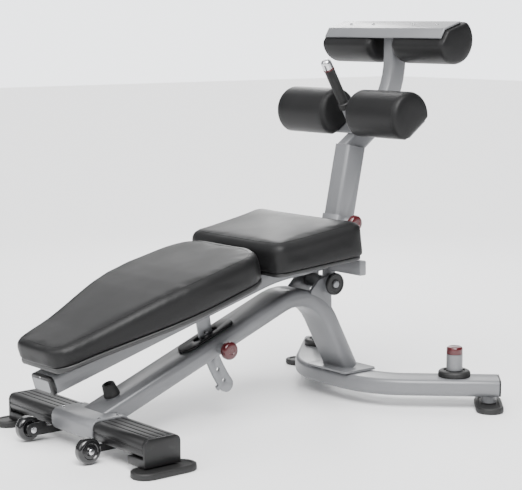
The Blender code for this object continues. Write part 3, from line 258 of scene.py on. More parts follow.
def makeFinish(name, look, marks, grain):
    material = bpy.data.materials.new(name)
    material.use_nodes = True
    tree = material.node_tree
    shader = tree.nodes["Principled BSDF"]
    marked = tree.nodes.new("ShaderNodeGroup")
    marked.node_tree = marks
    marked.inputs["Tone"].default_value = (*look["tone"], 1)
    marked.inputs["Drift tone"].default_value = (*look["drift"], 1)
    marked.inputs["Scuff tone"].default_value = (*look["scuff"], 1)
    marked.inputs["Scuff amount"].default_value = look["scuffAmount"]
    marked.inputs["Roughness"].default_value = look["roughness"]
    tree.links.new(marked.outputs["Tone"], shader.inputs["Base Color"])
    tree.links.new(marked.outputs["Roughness"], shader.inputs["Roughness"])
    grained = tree.nodes.new("ShaderNodeGroup")
    grained.node_tree = grain
    grained.inputs["Cell scale"].default_value, grained.inputs["Cell share"].default_value = look["cells"]
    grained.inputs["Noise scale"].default_value, grained.inputs["Noise share"].default_value = look["noise"]
    bump = tree.nodes.new("ShaderNodeBump")
    bump.inputs["Strength"].default_value = look["bump"]
    bump.inputs["Distance"].default_value = look["depth"]
    tree.links.new(grained.outputs["Height"], bump.inputs["Height"])
    tree.links.new(bump.outputs["Normal"], shader.inputs["Normal"])
    shader.inputs["Metallic"].default_value = look["metallic"]
    shader.inputs["Coat Weight"].default_value = look["coat"]
    shader.inputs["Coat Roughness"].default_value = look["coatRough"]
    shader.inputs["Specular IOR Level"].default_value = look.get("specular", 0.5)
    return material


marksGroup, grainGroup = makeHandlingGroup(), makeGrainGroup()
finish = {name: makeFinish(name, look, marksGroup, grainGroup) for name, look in finishes.items()}
slotFinish = {"silver_paint": "silverPaint", "black_vinyl": "blackVinyl", "black_plastic": "blackPlastic",
              "black_rubber": "blackRubber", "dark_red_plastic": "darkRed", "bright_steel": "brightSteel"}
print("finishes ready")


# helpers for pieces

def newPiece(name, mesh, finishName, body, replaces=()):
    piece = bpy.data.objects.new(name, mesh)
    bpy.context.scene.collection.objects.link(piece)
    mesh.materials.clear()
    mesh.materials.append(finish[finishName])
    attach(piece, body)
    if replaces:
        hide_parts(*replaces)
    return piece


def mergedCopy(node):
    bm = bmesh.new()
    bm.from_mesh(frame["nodes"][node].data)
    bmesh.ops.remove_doubles(bm, verts=bm.verts, dist=0.00001)
    bmesh.ops.dissolve_limit(bm, angle_limit=math.radians(0.7), verts=bm.verts, edges=bm.edges)
    bmesh.ops.recalc_face_normals(bm, faces=bm.faces)
    return bm


def bakeModifiers(piece):
    graph = bpy.context.evaluated_depsgraph_get()
    mesh = bpy.data.meshes.new_from_object(piece.evaluated_get(graph))
    piece.modifiers.clear()
    piece.data = mesh


def smoothShade(mesh, angle=38):
    mesh.shade_smooth()
    mesh.set_sharp_from_angle(angle=math.radians(angle))


def refined(node, finishName, edge=0.0010, shape=None):
    # the CAD solid with its edges eased, so that they catch the light
    bm = mergedCopy(node)
    if shape:
        shape(bm)
    mesh = bpy.data.meshes.new(node)
    bm.to_mesh(mesh)
    bm.free()
    piece = newPiece(node + "_body", mesh, finishName, bodyOf[node], (node,))
    bevel = piece.modifiers.new("easedEdges", "BEVEL")
    bevel.width = edge
    bevel.segments = 2
    bevel.limit_method = "ANGLE"
    bevel.angle_limit = math.radians(38)
    bevel.use_clamp_overlap = True
    bakeModifiers(piece)
    piece.data.materials.clear()
    piece.data.materials.append(finish[finishName])
    smoothShade(piece.data)
    return piece


def circleOf(bm, radius, height, steps):
    turns = [2 * math.pi * k / steps for k in range(steps)]
    return [bm.verts.new((radius * math.cos(turn), radius * math.sin(turn), height)) for turn in turns]


def finishedTurning(bm, name, origin, direction):
    bmesh.ops.recalc_face_normals(bm, faces=bm.faces)
    turn = Vector((0, 0, 1)).rotation_difference(Vector(direction)).to_matrix().to_4x4()
    bmesh.ops.transform(bm, matrix=Matrix.Translation(origin) @ turn, verts=bm.verts)
    mesh = bpy.data.meshes.new(name)
    bm.to_mesh(mesh)
    bm.free()
    smoothShade(mesh)
    return mesh


def turnedMesh(name, profile, origin, direction, steps=72):
    # profile points are (radius, height) up the axis; a radius of 0 closes an end
    bm = bmesh.new()
    rings = [[bm.verts.new((0, 0, height))] if radius < 1e-6 else circleOf(bm, radius, height, steps)
             for radius, height in profile]
    for lower, upper in zip(rings, rings[1:]):
        for k in range(steps):
            corners = [lower[k % len(lower)], lower[(k + 1) % len(lower)],
                       upper[(k + 1) % len(upper)], upper[k % len(upper)]]
            bm.faces.new([vertex for index, vertex in enumerate(corners) if vertex not in corners[:index]])
    if len(rings[0]) > 1:
        bm.faces.new(rings[0][::-1])
    if len(rings[-1]) > 1:
        bm.faces.new(rings[-1])
    return finishedTurning(bm, name, origin, direction)


def ringMesh(name, profile, origin, direction, steps=72):
    # a closed loop of (radius, height) points turned into a ring
    bm = bmesh.new()
    rings = [circleOf(bm, radius, height, steps) for radius, height in profile]
    for ring, following in zip(rings, rings[1:] + rings[:1]):
        for k in range(steps):
            bm.faces.new((ring[k], ring[(k + 1) % steps], following[(k + 1) % steps], following[k]))
    return finishedTurning(bm, name, origin, direction)


def bow(centre, radius, start, end, steps=6):
    points = []
    for step in range(steps + 1):
        angle = math.radians(start + (end - start) * step / steps)
        points.append((centre[0] + radius * math.cos(angle), centre[1] + radius * math.sin(angle)))
    return points


def roundedLoop(halfWidth, halfDepth, corner):
    # points round a rectangle with round corners, centred on 0
    points = []
    for sx, sy, first in ((1, 1, 0), (-1, 1, 90), (-1, -1, 180), (1, -1, 270)):
        points += bow((sx * (halfWidth - corner), sy * (halfDepth - corner)), corner, first, first + 90, 4)
    return points


def boxMiddle(node):
    low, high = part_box(node)
    return (low + high) / 2


def turnedSize(node, direction):
    # where a turned CAD node starts on its axis, its length and its largest radius
    direction = Vector(direction).normalized()
    places = {tuple(round(c, 6) for c in vertex.co) for vertex in frame["nodes"][node].data.vertices}
    places = [Vector(place) for place in places]
    middle = sum(places, Vector()) / len(places)
    heights = [(place - middle).dot(direction) for place in places]
    reach = max(((place - middle) - direction * (place - middle).dot(direction)).length for place in places)
    return middle + direction * min(heights), max(heights) - min(heights), reach


def closedTube(name, points, radius, finishName, body):
    curve = bpy.data.curves.new(name, "CURVE")
    curve.dimensions = "3D"
    curve.bevel_depth = radius
    curve.bevel_resolution = 2
    spline = curve.splines.new("POLY")
    spline.points.add(len(points) - 1)
    for target, point in zip(spline.points, points):
        target.co = (*point, 1)
    spline.use_cyclic_u = True
    holder = bpy.data.objects.new(name, curve)
    bpy.context.scene.collection.objects.link(holder)
    mesh = bpy.data.meshes.new_from_object(holder.evaluated_get(bpy.context.evaluated_depsgraph_get()))
    bpy.data.objects.remove(holder)
    smoothShade(mesh, 60)
    return newPiece(name, mesh, finishName, body)


# repeated small parts, by Geometry Nodes

def repeatTree():
    # places one small part on every point, turned to the point's facing
    tree = bpy.data.node_groups.new("smallPartSet", "GeometryNodeTree")
    tree.interface.new_socket("Points", in_out="INPUT", socket_type="NodeSocketGeometry")
    part = tree.interface.new_socket("Part", in_out="INPUT", socket_type="NodeSocketObject")
    size = tree.interface.new_socket("Size", in_out="INPUT", socket_type="NodeSocketFloat")
    coat = tree.interface.new_socket("Finish", in_out="INPUT", socket_type="NodeSocketMaterial")
    tree.interface.new_socket("Parts", in_out="OUTPUT", socket_type="NodeSocketGeometry")
    start, end = tree.nodes.new("NodeGroupInput"), tree.nodes.new("NodeGroupOutput")
    info = tree.nodes.new("GeometryNodeObjectInfo")
    facing = tree.nodes.new("GeometryNodeInputNamedAttribute")
    facing.data_type = "FLOAT_VECTOR"
    facing.inputs["Name"].default_value = "facing"
    turn = tree.nodes.new("FunctionNodeAlignRotationToVector")
    turn.axis = "Z"
    spot = tree.nodes.new("GeometryNodeInstanceOnPoints")
    real = tree.nodes.new("GeometryNodeRealizeInstances")
    coated = tree.nodes.new("GeometryNodeSetMaterial")
    link = tree.links.new
    link(start.outputs["Part"], info.inputs["Object"])
    link(facing.outputs["Attribute"], turn.inputs["Vector"])
    link(start.outputs["Points"], spot.inputs["Points"])
    link(info.outputs["Geometry"], spot.inputs["Instance"])
    link(turn.outputs["Rotation"], spot.inputs["Rotation"])
    link(start.outputs["Size"], spot.inputs["Scale"])
    link(spot.outputs["Instances"], real.inputs["Geometry"])
    link(real.outputs["Geometry"], coated.inputs["Geometry"])
    link(start.outputs["Finish"], coated.inputs["Material"])
    link(coated.outputs["Geometry"], end.inputs["Parts"])
    return tree, part.identifier, size.identifier, coat.identifier


partTree, partSocket, sizeSocket, finishSocket = repeatTree()


def repeated(name, part, spots, size, finishName, body):  # spots are (place, facing) pairs
    mesh = bpy.data.meshes.new(name)
    mesh.from_pydata([spot for spot, _ in spots], [], [])
    facing = mesh.attributes.new("facing", "FLOAT_VECTOR", "POINT")
    for entry, (_, direction) in zip(facing.data, spots):
        entry.vector = Vector(direction).normalized()
    holder = bpy.data.objects.new(name + "Points", mesh)
    bpy.context.scene.collection.objects.link(holder)
    modifier = holder.modifiers.new("set", "NODES")
    modifier.node_group = partTree
    modifier[partSocket] = part
    modifier[sizeSocket] = size
    modifier[finishSocket] = finish[finishName]
    graph = bpy.context.evaluated_depsgraph_get()
    made = bpy.data.meshes.new_from_object(holder.evaluated_get(graph))
    bpy.data.objects.remove(holder)
    smoothShade(made, 40)
    return newPiece(name, made, finishName, body)


def patternPart(name, mesh):
    part = bpy.data.objects.new(name, mesh)
    bpy.context.scene.collection.objects.link(part)
    return part


def screwHead():
    # button head of radius 1 with a hex socket
    profile = [(1.0, -0.1), (1.0, 0.12)] + bow((0.0, -0.9), 1.45, 43, 72, 4)
    profile += [(0.42, 0.46), (0.40, 0.12), (0, 0.10)]
    return patternPart("screwPattern", turnedMesh("screwPattern", profile, (0, 0, 0), (0, 0, 1), 18))


def ribRing():
    profile = [(1 + 0.045 * math.cos(a), 0.10 * math.sin(a)) for a in (k * math.pi / 4 for k in range(8))]
    return patternPart("ribPattern", ringMesh("ribPattern", profile, (0, 0, 0), (0, 0, 1), 40))


def weldDrop():
    bm = bmesh.new()
    bmesh.ops.create_uvsphere(bm, u_segments=8, v_segments=5, radius=1)
    bmesh.ops.scale(bm, vec=(1.0, 1.0, 0.75), verts=bm.verts)
    mesh = bpy.data.meshes.new("weldPattern")
    bm.to_mesh(mesh)
    bm.free()
    return patternPart("weldPattern", mesh)


patterns = {"screw": screwHead(), "rib": ribRing(), "weld": weldDrop()}


def evenly(points, pitch):
    # evenly spaced places round a closed loop
    chain = points + points[:1]
    lengths = [(b - a).length for a, b in zip(chain, chain[1:])]
    count = max(2, round(sum(lengths) / pitch))
    spots = []
    for index in range(count):
        target = sum(lengths) * index / count
        for a, b, length in zip(chain, chain[1:], lengths):
            if target <= length:
                spots.append(a.lerp(b, target / length if length else 0))
                break
            target -= length
    return spots


# padded pieces

seamLook = {"cushionInset": 0.020, "cushionCord": 0.0009, "rollerInset": 0.014, "rollerCord": 0.0010}
padLooks = {
    "back_cushion": {"voxel": 0.0060, "shrink": -0.0030, "cap": 0.0030, "pressure": 4.0, "fill": 0.6},
    "seat_cushion": {"voxel": 0.0055, "shrink": -0.0035, "cap": 0.0030, "pressure": 4.0, "fill": 0.6},
    "roller": {"voxel": 0.0050, "shrink": -0.0030, "cap": 0.0020, "pressure": 3.0, "fill": 0.6},
}


def remeshed(bm, name, voxel):
    mesh = bpy.data.meshes.new(name)
    bm.to_mesh(mesh)
    bm.free()
    holder = bpy.data.objects.new(name, mesh)
    bpy.context.scene.collection.objects.link(holder)
    cells = holder.modifiers.new("cells", "REMESH")
    cells.mode = "VOXEL"
    cells.voxel_size = voxel
    bakeModifiers(holder)
    return holder


def relax(mesh, rounds, held):
    bm = bmesh.new()
    bm.from_mesh(mesh)
    bm.verts.ensure_lookup_table()
    free = [vertex for vertex in bm.verts if vertex.index not in held]
    for _ in range(rounds):
        bmesh.ops.smooth_vert(bm, verts=free, factor=0.5, use_axis_x=True, use_axis_y=True, use_axis_z=True)
    bm.to_mesh(mesh)
    bm.free()


def swell(holder, look, held):
    group = holder.vertex_groups.new(name="held")
    group.add(sorted(held), 1.0, "REPLACE")
    before = [vertex.co.copy() for vertex in holder.data.vertices]
    cloth = holder.modifiers.new("swell", "CLOTH")
    settings = cloth.settings
    settings.vertex_group_mass = "held"
    settings.quality = 5
    settings.mass = 0.3
    settings.tension_stiffness = 20
    settings.compression_stiffness = 20
    settings.shear_stiffness = 8
    settings.bending_stiffness = 1.0
    settings.use_pressure = True
    settings.uniform_pressure_force = look["pressure"]
    settings.effector_weights.gravity = 0
    scene = bpy.context.scene
    cloth.point_cache.frame_start, cloth.point_cache.frame_end = 1, 20
    for step in range(1, 21):
        scene.frame_set(step)
    graph = bpy.context.evaluated_depsgraph_get()
    after = bpy.data.meshes.new_from_object(holder.evaluated_get(graph))
    holder.modifiers.clear()
    holder.data = after
    scene.frame_set(1)
    for vertex, start in zip(after.vertices, before):
        move = vertex.co - start
        if move.length > look["cap"]:
            vertex.co = start + move * look["cap"] / move.length


def padPiece(node, look, flats):
    # flats are (point, outward direction): the pad stays flat where it rests on them
    bm = mergedCopy(node)
    bm.normal_update()
    middle = sum((vertex.co for vertex in bm.verts), Vector()) / len(bm.verts)
    for vertex in bm.verts:
        resting = any(abs((vertex.co - point).dot(outward)) < 0.002 for point, outward in flats)
        if not resting:
            vertex.co -= vertex.normal * look["shrink"]
    holder = remeshed(bm, node + "Cells", look["voxel"])
    held = {vertex.index for vertex in holder.data.vertices
            if any((vertex.co - point).dot(outward) > -look["voxel"] * 0.7 for point, outward in flats)}
    swell(holder, look, held)
    relax(holder.data, 4, held)
    finer = holder.modifiers.new("finer", "SUBSURF")
    finer.levels = finer.render_levels = 1
    bakeModifiers(holder)
    mesh = holder.data
    bpy.data.objects.remove(holder)
    mesh.shade_smooth()
    piece = newPiece(node + "_pad", mesh, "blackVinyl", bodyOf[node], (node,))
    return piece


def surfaceOf(piece):
    bm = bmesh.new()
    bm.from_mesh(piece.data)
    tree = BVHTree.FromBMesh(bm)
    bm.free()
    return tree


def padFlat(node):
    # the plane of the pad's underside
    mesh = frame["nodes"][node].data
    best = max(mesh.polygons, key=lambda face: face.area * max(0, -face.normal.z))
    return mesh.vertices[best.vertices[0]].co.copy(), best.normal.copy()


def topSeam(piece, slope, inset, samples=220):
    # a loop on the pad's crown, a fixed way in from its sides
    surface = surfaceOf(piece)
    box = [Vector(corner) for corner in piece.bound_box]
    middle = sum(box, Vector()) / 8
    forward = Vector((math.cos(slope), 0, math.sin(slope)))
    up = Vector((-math.sin(slope), 0, math.cos(slope)))
    loop = []
    for index in range(samples):
        angle = 2 * math.pi * index / samples
        heading = forward * math.cos(angle) + along * math.sin(angle)
        edge, facing, _, _ = surface.ray_cast(middle, heading)
        if edge is None:
            continue
        sideways = Vector(facing) - up * Vector(facing).dot(up)
        inner = edge - sideways.normalized() * inset
        top, _, _, _ = surface.ray_cast(inner + up * 0.3, -up)
        if top is not None:
            loop.append(top - up * 0.0002)
    return loop


def softened(loop):
    for _ in range(3):
        loop = [(loop[k - 1] + loop[k] * 2 + loop[(k + 1) % len(loop)]) / 4 for k in range(len(loop))]
    return loop


def buildCushions():
    for node in ("back_cushion", "seat_cushion"):
        pad = padPiece(node, padLooks[node], [padFlat(node)])
        point, outward = padFlat(node)
        slope = math.atan2(outward.x, -outward.z)
        seam = softened(topSeam(pad, slope, seamLook["cushionInset"]))
        closedTube(node + "_seam", seam, seamLook["cushionCord"], "blackVinyl", bodyOf[node])
    print("cushions ready")


def buildRollers():
    for level in ("lower", "upper"):
        for name in sides:
            node = level + "_pad_" + name
            mesh = frame["nodes"][node].data
            faces = [face for face in mesh.polygons if abs(face.normal.y) < 0.1]
            widths = sorted(faces, key=lambda face: -face.area)
            flats = []
            for face in widths[:4]:
                if all(face.normal.dot(outward) < 0.98 for _, outward in flats):
                    flats.append((mesh.vertices[face.vertices[0]].co.copy(), face.normal.copy()))
            flats = flats[:1] if level == "lower" else flats[:2]
            pad = padPiece(node, padLooks["roller"], flats)
            rollerSeams(node, pad)
    print("rollers ready")


def rollerSeams(node, pad):
    surface = surfaceOf(pad)
    low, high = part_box(node)
    middle = (low + high) / 2
    inset, cord = seamLook["rollerInset"], seamLook["rollerCord"]
    for label, place in (("inner", low.y + inset), ("outer", high.y - inset)):
        loop = []
        for step in range(90):
            angle = 2 * math.pi * step / 90
            heading = Vector((math.cos(angle), 0, math.sin(angle)))
            edge, _, _, _ = surface.ray_cast(Vector((middle.x, place, middle.z)), heading)
            if edge is not None:
                loop.append(edge - heading * 0.0003)
        closedTube(node + "_" + label + "Seam", softened(loop), cord, "blackVinyl", bodyOf[node])


# turned pieces

wheelLook = {"edge": 0.009, "dish": 0.022, "dishDepth": 0.002, "bore": 0.0062, "bossTop": 0.011,
             "bossFoot": 0.0125}


def buildWheels():
    look = wheelLook
    for name in sides:
        node = "wheel_" + name
        start, length, radius = turnedSize(node, along)
        edge, dish = look["edge"], look["dish"]
        hub = [(look["bore"], 0), (look["bossTop"], 0), (look["bossFoot"], look["dishDepth"]),
               (dish - look["dishDepth"], look["dishDepth"]), (dish, 0)]
        profile = hub + bow((radius - edge, edge), edge, -90, 0) + bow((radius - edge, length - edge), edge, 0, 90)
        profile += [(r, length - h) for r, h in reversed(hub)]
        newPiece(node + "_tyre", ringMesh(node, profile, start, along), "glossBlack", node, (node,))
        refined("wheel_bolt_" + name, "brightSteel", 0.0004)
    print("wheels ready")


pinLook = {"rod": 0.005, "rodTip": 0.004, "collarShare": 0.55, "collarEnd": 0.22, "coneEnd": 0.36,
           "edge": 0.005, "crown": 0.009, "dimple": 0.0012, "headLengths": {"decline_pin": 0.030, "tower_pin": 0.028}}


def buildPullPins():
    outward = Vector((0, -1, 0))
    for node, head in pinLook["headLengths"].items():
        start, length, radius = turnedSize(node, along)
        neck = length - head
        rod, collar = pinLook["rod"], radius * pinLook["collarShare"]
        edge, crown = pinLook["edge"], pinLook["crown"]
        profile = [(0.0, 0), (pinLook["rodTip"], 0), (rod, 0.001), (rod, neck), (collar, neck),
                   (collar, neck + head * pinLook["collarEnd"]),
                   (radius - 0.004, neck + head * pinLook["coneEnd"])]
        profile += bow((radius - edge, neck + head * 0.45), edge, -40, 0, 3)
        profile += [(radius, length - crown)] + bow((radius - crown, length - crown), crown, 15, 80, 6)
        profile += [(radius * 0.40, length), (radius * 0.36, length - 0.0010), (0, length - pinLook["dimple"])]
        mesh = turnedMesh(node, profile, start + along * length, outward)
        newPiece(node + "_knob", mesh, "darkRed", bodyOf[node], (node,))
    print("pull pins ready")


postLook = {"capEdge": 0.008, "shoulder": 0.009, "dishOuter": 0.032, "dishInner": 0.030, "dishDepth": 0.004,
            "pipeSeat": 0.0245, "lip": 0.0240}


def buildPosts():
    up = Vector((0, 0, 1))
    for name in sides:
        start, length, radius = turnedSize("post_" + name, up)
        tube = turnedMesh("post", [(0, 0), (radius, 0), (radius, length), (0, length)], start, up)
        newPiece("post_" + name + "_tube", tube, "silverPaint", "base", ("post_" + name,))
        start, length, radius = turnedSize("post_cap_" + name, up)
        edge = postLook["capEdge"]
        profile = [(0, 0), (radius - 0.001, 0), (radius, 0.001), (radius, length - edge)]
        profile += bow((radius - edge, length - edge), edge, 0, 85) + [(0, length)]
        newPiece("post_cap_" + name + "_plug", turnedMesh("cap", profile, start, up), "darkRed", "base",
                 ("post_cap_" + name,))
        start, length, radius = turnedSize("post_base_" + name, up)
        shoulder, floor = postLook["shoulder"], length - postLook["dishDepth"]
        profile = [(0, 0), (radius - 0.001, 0), (radius, 0.002), (radius, length - shoulder)]
        profile += bow((radius - shoulder, length - shoulder), shoulder, 0, 90)
        profile += [(postLook["dishOuter"], length), (postLook["dishInner"], floor), (postLook["pipeSeat"], floor),
                    (postLook["lip"], length), (0, length)]
        newPiece("post_base_" + name + "_ring", turnedMesh("base", profile, start, up), "blackRubber", "base",
                 ("post_base_" + name,))
    print("posts ready")


pivotCapLook = {"bore": 0.0084, "edge": 0.004, "rim": 0.0265, "dishDepth": 0.0015, "boss": 0.0145, "cup": 0.0130,
                "cupDepth": 0.002}


def buildPivotCaps():
    look = pivotCapLook
    bore, edge, boss, cup = look["bore"], look["edge"], look["boss"], look["cup"]
    for name, side in (("left", 1), ("right", -1)):
        node = "pivot_cap_" + name
        outward = along * side
        start, length, radius = turnedSize(node, outward)
        dish, well = length - look["dishDepth"], length - look["cupDepth"]
        profile = [(bore, 0), (radius - 0.001, 0), (radius, 0.001), (radius, length - edge)]
        profile += bow((radius - edge, length - edge), edge, 0, 90, 4)
        profile += [(look["rim"], length), (look["rim"] - 0.001, dish), (boss + 0.001, dish), (boss, length),
                    (cup, length), (cup - 0.001, well), (bore, well)]
        newPiece(node + "_disc", ringMesh(node, profile, start, outward), "blackPlastic", "base", (node,))
    refined("pivot_shaft", "zincPlate", 0.0005)
    print("pivot caps ready")


bumperLook = {"topShare": 0.80, "flange": 0.008, "edge": 0.003, "hole": 0.0125, "holeDepth": 0.010}


def buildBumper():
    slope = mainSlope()
    axis = Vector((-math.sin(slope), 0, math.cos(slope)))
    start, length, radius = turnedSize("bumper", axis)
    top, flange, edge = radius * bumperLook["topShare"], bumperLook["flange"], bumperLook["edge"]
    hole, well = bumperLook["hole"], length - bumperLook["holeDepth"]
    profile = [(0, 0), (radius - 0.001, 0), (radius, 0.001), (radius, flange), (radius - 0.001, flange + 0.001)]
    profile += bow((top - edge, length - edge), edge, 10, 90, 4)
    profile += [(hole, length), (hole - 0.001, length - 0.001), (hole - 0.0025, well), (0, well)]
    newPiece("bumper_stop", turnedMesh("bumper", profile, start, axis), "blackRubber", "base", ("bumper",))


def mainSlope():
    normal = max(frame["nodes"]["slot_bezel"].data.polygons, key=lambda face: face.area * face.normal.z).normal
    return math.atan2(-normal.x, normal.z)


handleLook = {"gripCut": 0.0018, "collar": 0.017, "ribPitch": 0.0052, "firstRib": 0.030, "ribbed": 0.040,
              "ringLength": 0.005, "capEdge": 0.012}


def buildHandle():
    look = handleLook
    axis = (boxMiddle("handle_cap") - boxMiddle("handle_grip")).normalized()
    start, length, radius = turnedSize("handle_grip", axis)
    grip, collar = radius - look["gripCut"], look["collar"]
    profile = [(0, 0), (radius - 0.002, 0), (radius, 0.002), (radius, collar), (radius - 0.003, collar + 0.003),
               (grip - 0.0012, collar + 0.007), (grip - 0.0006, length - 0.004), (grip, length - 0.003),
               (grip, length), (0, length)]
    sleeve = turnedMesh("grip", profile, start, axis)
    newPiece("handle_grip_sleeve", sleeve, "blackRubber", "tower", ("handle_grip",))
    ribs = int((length - look["ribbed"]) / look["ribPitch"])
    spots = [(start + axis * (look["firstRib"] + look["ribPitch"] * step), axis) for step in range(ribs)]
    repeated("handle_ribs", patterns["rib"], spots, grip - 0.0012, "blackRubber", "tower")

    start, length, radius = turnedSize("handle_cap", axis)
    ring, edge = look["ringLength"], look["capEdge"]
    profile = [(0, 0), (radius, 0), (radius + 0.0004, 0.0015), (radius, ring), (0, ring)]
    newPiece("handle_ring", turnedMesh("ring", profile, start, axis), "darkRed", "tower")
    slim = radius - 0.0004
    profile = [(0, ring + 0.0002), (slim, ring + 0.0002), (slim, length - edge)]
    profile += bow((slim - edge, length - edge), edge, 0, 88) + [(0, length)]
    newPiece("handle_cap_end", turnedMesh("cap", profile, start, axis), "brightSteel", "tower", ("handle_cap",))
    refined("handle_stem", "silverPaint", 0.0008)
    print("handle ready")


# moulded and welded pieces

def recessTop(inset, depth):
    def shape(bm):
        bm.faces.ensure_lookup_table()
        top = max(bm.faces, key=lambda face: face.calc_area() * face.normal.z)
        bmesh.ops.inset_region(bm, faces=[top], thickness=inset, depth=0)
        bmesh.ops.inset_region(bm, faces=[top], thickness=depth * 0.6, depth=-depth)
    return shape


footLook = {"rims": {"front_foot_": (0.007, 0.0025), "rear_foot_": (0.008, 0.0030)},  # width and depth
            "edges": {"foot_cap_": 0.0012, "foot_cover_": 0.0005, "wheel_bracket_": 0.0008, "bow_cap_": 0.0006}}


def buildFeet():
    for name in sides:
        for node, (rim, depth) in footLook["rims"].items():
            refined(node + name, "blackRubber", 0.0008, shape=recessTop(rim, depth))
        for node, edge in footLook["edges"].items():
            refined(node + name, "blackPlastic", edge)
    print("feet ready")


panelLook = {"margin": 0.009, "halfHeight": 0.0165, "corner": 0.007, "thickness": 0.0016, "screw": 0.0026,
             "screwRise": 0.0052}


def buildLowEndPanel():
    # pale inset plate and its screw on the beam's low end
    refined("low_end_cap", "blackPlastic", 0.0015)
    mesh = frame["nodes"]["low_end_cap"].data
    face = max(mesh.polygons, key=lambda item: item.area * -item.normal.x)
    outward = face.normal.copy()
    low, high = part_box("low_end_cap")
    up = Vector((outward.z, 0, -outward.x))
    centre = (low + high) / 2
    half, tall = (high.y - low.y) / 2 - panelLook["margin"], panelLook["halfHeight"]
    reach = max((vertex.co - centre).dot(outward) for vertex in mesh.vertices)
    bm = bmesh.new()
    ring = [bm.verts.new(centre + outward * reach + along * across + up * rise)
            for across, rise in roundedLoop(half, tall, panelLook["corner"])]
    face = bm.faces.new(ring)
    raised = bmesh.ops.extrude_face_region(bm, geom=[face])
    moved = [item for item in raised["geom"] if isinstance(item, bmesh.types.BMVert)]
    bmesh.ops.translate(bm, vec=outward * panelLook["thickness"], verts=moved)
    bmesh.ops.recalc_face_normals(bm, faces=bm.faces)
    plate = bpy.data.meshes.new("lowEndPanel")
    bm.to_mesh(plate)
    bm.free()
    smoothShade(plate)
    newPiece("low_end_panel", plate, "silverPaint", "upper_frame")
    screwPlace = centre + outward * (reach + 0.0002) + up * (tall + panelLook["screwRise"])
    spots = [(screwPlace, outward)]
    repeated("low_end_screw", patterns["screw"], spots, panelLook["screw"], "brightSteel", "upper_frame")


plainNodes = {
    "front_tube": 0.0008, "front_saddle": 0.0015, "main_beam": 0.0010, "leg_plate": 0.0010, "pivot_ear_left": 0.0012,
    "pivot_ear_right": 0.0012, "rear_bow": 0.0010, "upper_beam": 0.0010, "pivot_hub": 0.0008, "back_mount": 0.0010,
    "seat_mount": 0.0010, "crossbar_left": 0.0008, "crossbar_right": 0.0008, "tower_socket": 0.0010, "tower": 0.0012,
    "lower_pad_plate": 0.0008, "upper_pad_plate": 0.0008, "decline_strap": 0.0010,
    "slot_bezel": 0.0010, "back_pan": 0.0030, "seat_pan": 0.0010,
}


def buildPlain():
    for node, edge in plainNodes.items():
        look = {"decline_strap": "zincPlate", "back_pan": "panGrey", "seat_pan": "panGrey"}.get(node)
        look = look or slotFinish[slotOf[node]]
        refined(node, look, edge)
    print("frame pieces ready")


screwLook = {"plateScrew": 0.0055, "plateScrewsAt": (-0.185, -0.085, 0.085, 0.185), "plateShare": 0.62,
             "saddleScrew": 0.0048, "saddleSpread": 0.030, "saddleMargin": 0.012, "postScrew": 0.0060,
             "postSpread": 0.026, "bowAcross": (0.725, 0.688), "bowDepth": 0.0503}


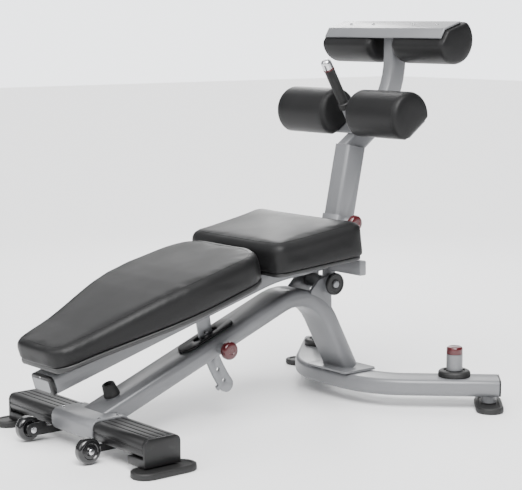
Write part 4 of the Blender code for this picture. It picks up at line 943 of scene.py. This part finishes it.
def buildScrews():
    up = Vector((0, 0, 1))
    plate = frame["nodes"]["upper_pad_plate"].data
    face = max(plate.polygons, key=lambda item: item.area * item.normal.z)
    low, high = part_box("upper_pad_plate")
    facing = face.normal
    anchor = plate.vertices[face.vertices[0]].co
    spots = []
    for y in screwLook["plateScrewsAt"]:
        x = low.x + (high.x - low.x) * screwLook["plateShare"]
        z = anchor.z - ((x - anchor.x) * facing.x) / facing.z
        spots.append((Vector((x, y, z)), facing))
    repeated("upper_plate_screws", patterns["screw"], spots, screwLook["plateScrew"], "brightSteel", "tower")

    low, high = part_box("front_saddle")
    middle = (low + high) / 2
    spread, margin = screwLook["saddleSpread"], screwLook["saddleMargin"]
    spots = []
    for level, facing in ((high.z, up), (low.z, -up)):
        spots += [(Vector((middle.x + shift, y, level)), facing)
                  for shift in (-spread, spread) for y in (low.y + margin, high.y - margin)]
    repeated("saddle_screws", patterns["screw"], spots, screwLook["saddleScrew"], "brightSteel", "base")

    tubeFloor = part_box("post_base_left")[0].z - screwLook["bowDepth"]
    forward, across = screwLook["bowAcross"]
    spots = []
    for name, side in (("left", 1), ("right", -1)):
        base = boxMiddle("post_base_" + name)
        for shift in (-screwLook["postSpread"], screwLook["postSpread"]):
            spots.append((Vector((base.x + shift * forward, base.y + side * shift * across, tubeFloor)), -up))
    repeated("post_screws", patterns["screw"], spots, screwLook["postScrew"], "brightSteel", "base")
    print("screws ready")


weldLook = {"pitch": 0.0032, "legBead": 0.0028, "plateBead": 0.0022, "corner": 0.012, "lift": 0.0006}


def buildWelds():
    # beads where the leg meets its plate and the plate meets the bow
    up = Vector((0, 0, 1))
    low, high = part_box("leg_plate")
    legLow = high.z
    pitch, corner, lift = weldLook["pitch"], weldLook["corner"], weldLook["lift"]
    leg = [vertex.co for vertex in frame["nodes"]["main_beam"].data.vertices
           if abs(vertex.co.z - legLow) < 0.002 and vertex.co.x > 0.2]  # the leg's foot, not the beam's low end
    xs = [place.x for place in leg]
    half = max(abs(place.y) for place in leg)
    front, back = min(xs), max(xs)
    legMiddle = (front + back) / 2
    loop = [Vector((legMiddle + x, y, legLow + lift)) for x, y in roundedLoop((back - front) / 2, half, corner)]
    spots = [(place, up) for place in evenly(loop, pitch)]
    repeated("leg_weld", patterns["weld"], spots, weldLook["legBead"], "silverPaint", "base")

    middle = (low + high) / 2
    outline = roundedLoop((high.x - low.x) / 2, (high.y - low.y) / 2, corner)
    loop = [Vector((middle.x + x, middle.y + y, low.z + lift)) for x, y in outline]
    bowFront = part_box("rear_bow")[0].x
    spots = [(place, up) for place in evenly(loop, pitch) if place.x > bowFront + corner]
    repeated("plate_weld", patterns["weld"], spots, weldLook["plateBead"], "silverPaint", "base")
    print("welds ready")


buildStudio()
buildCushions()
buildRollers()
buildWheels()
buildPullPins()
buildPosts()
buildPivotCaps()
buildBumper()
buildHandle()
buildFeet()
buildLowEndPanel()
buildPlain()
buildScrews()
buildWelds()
for pattern in patterns.values():
    bpy.data.objects.remove(pattern)
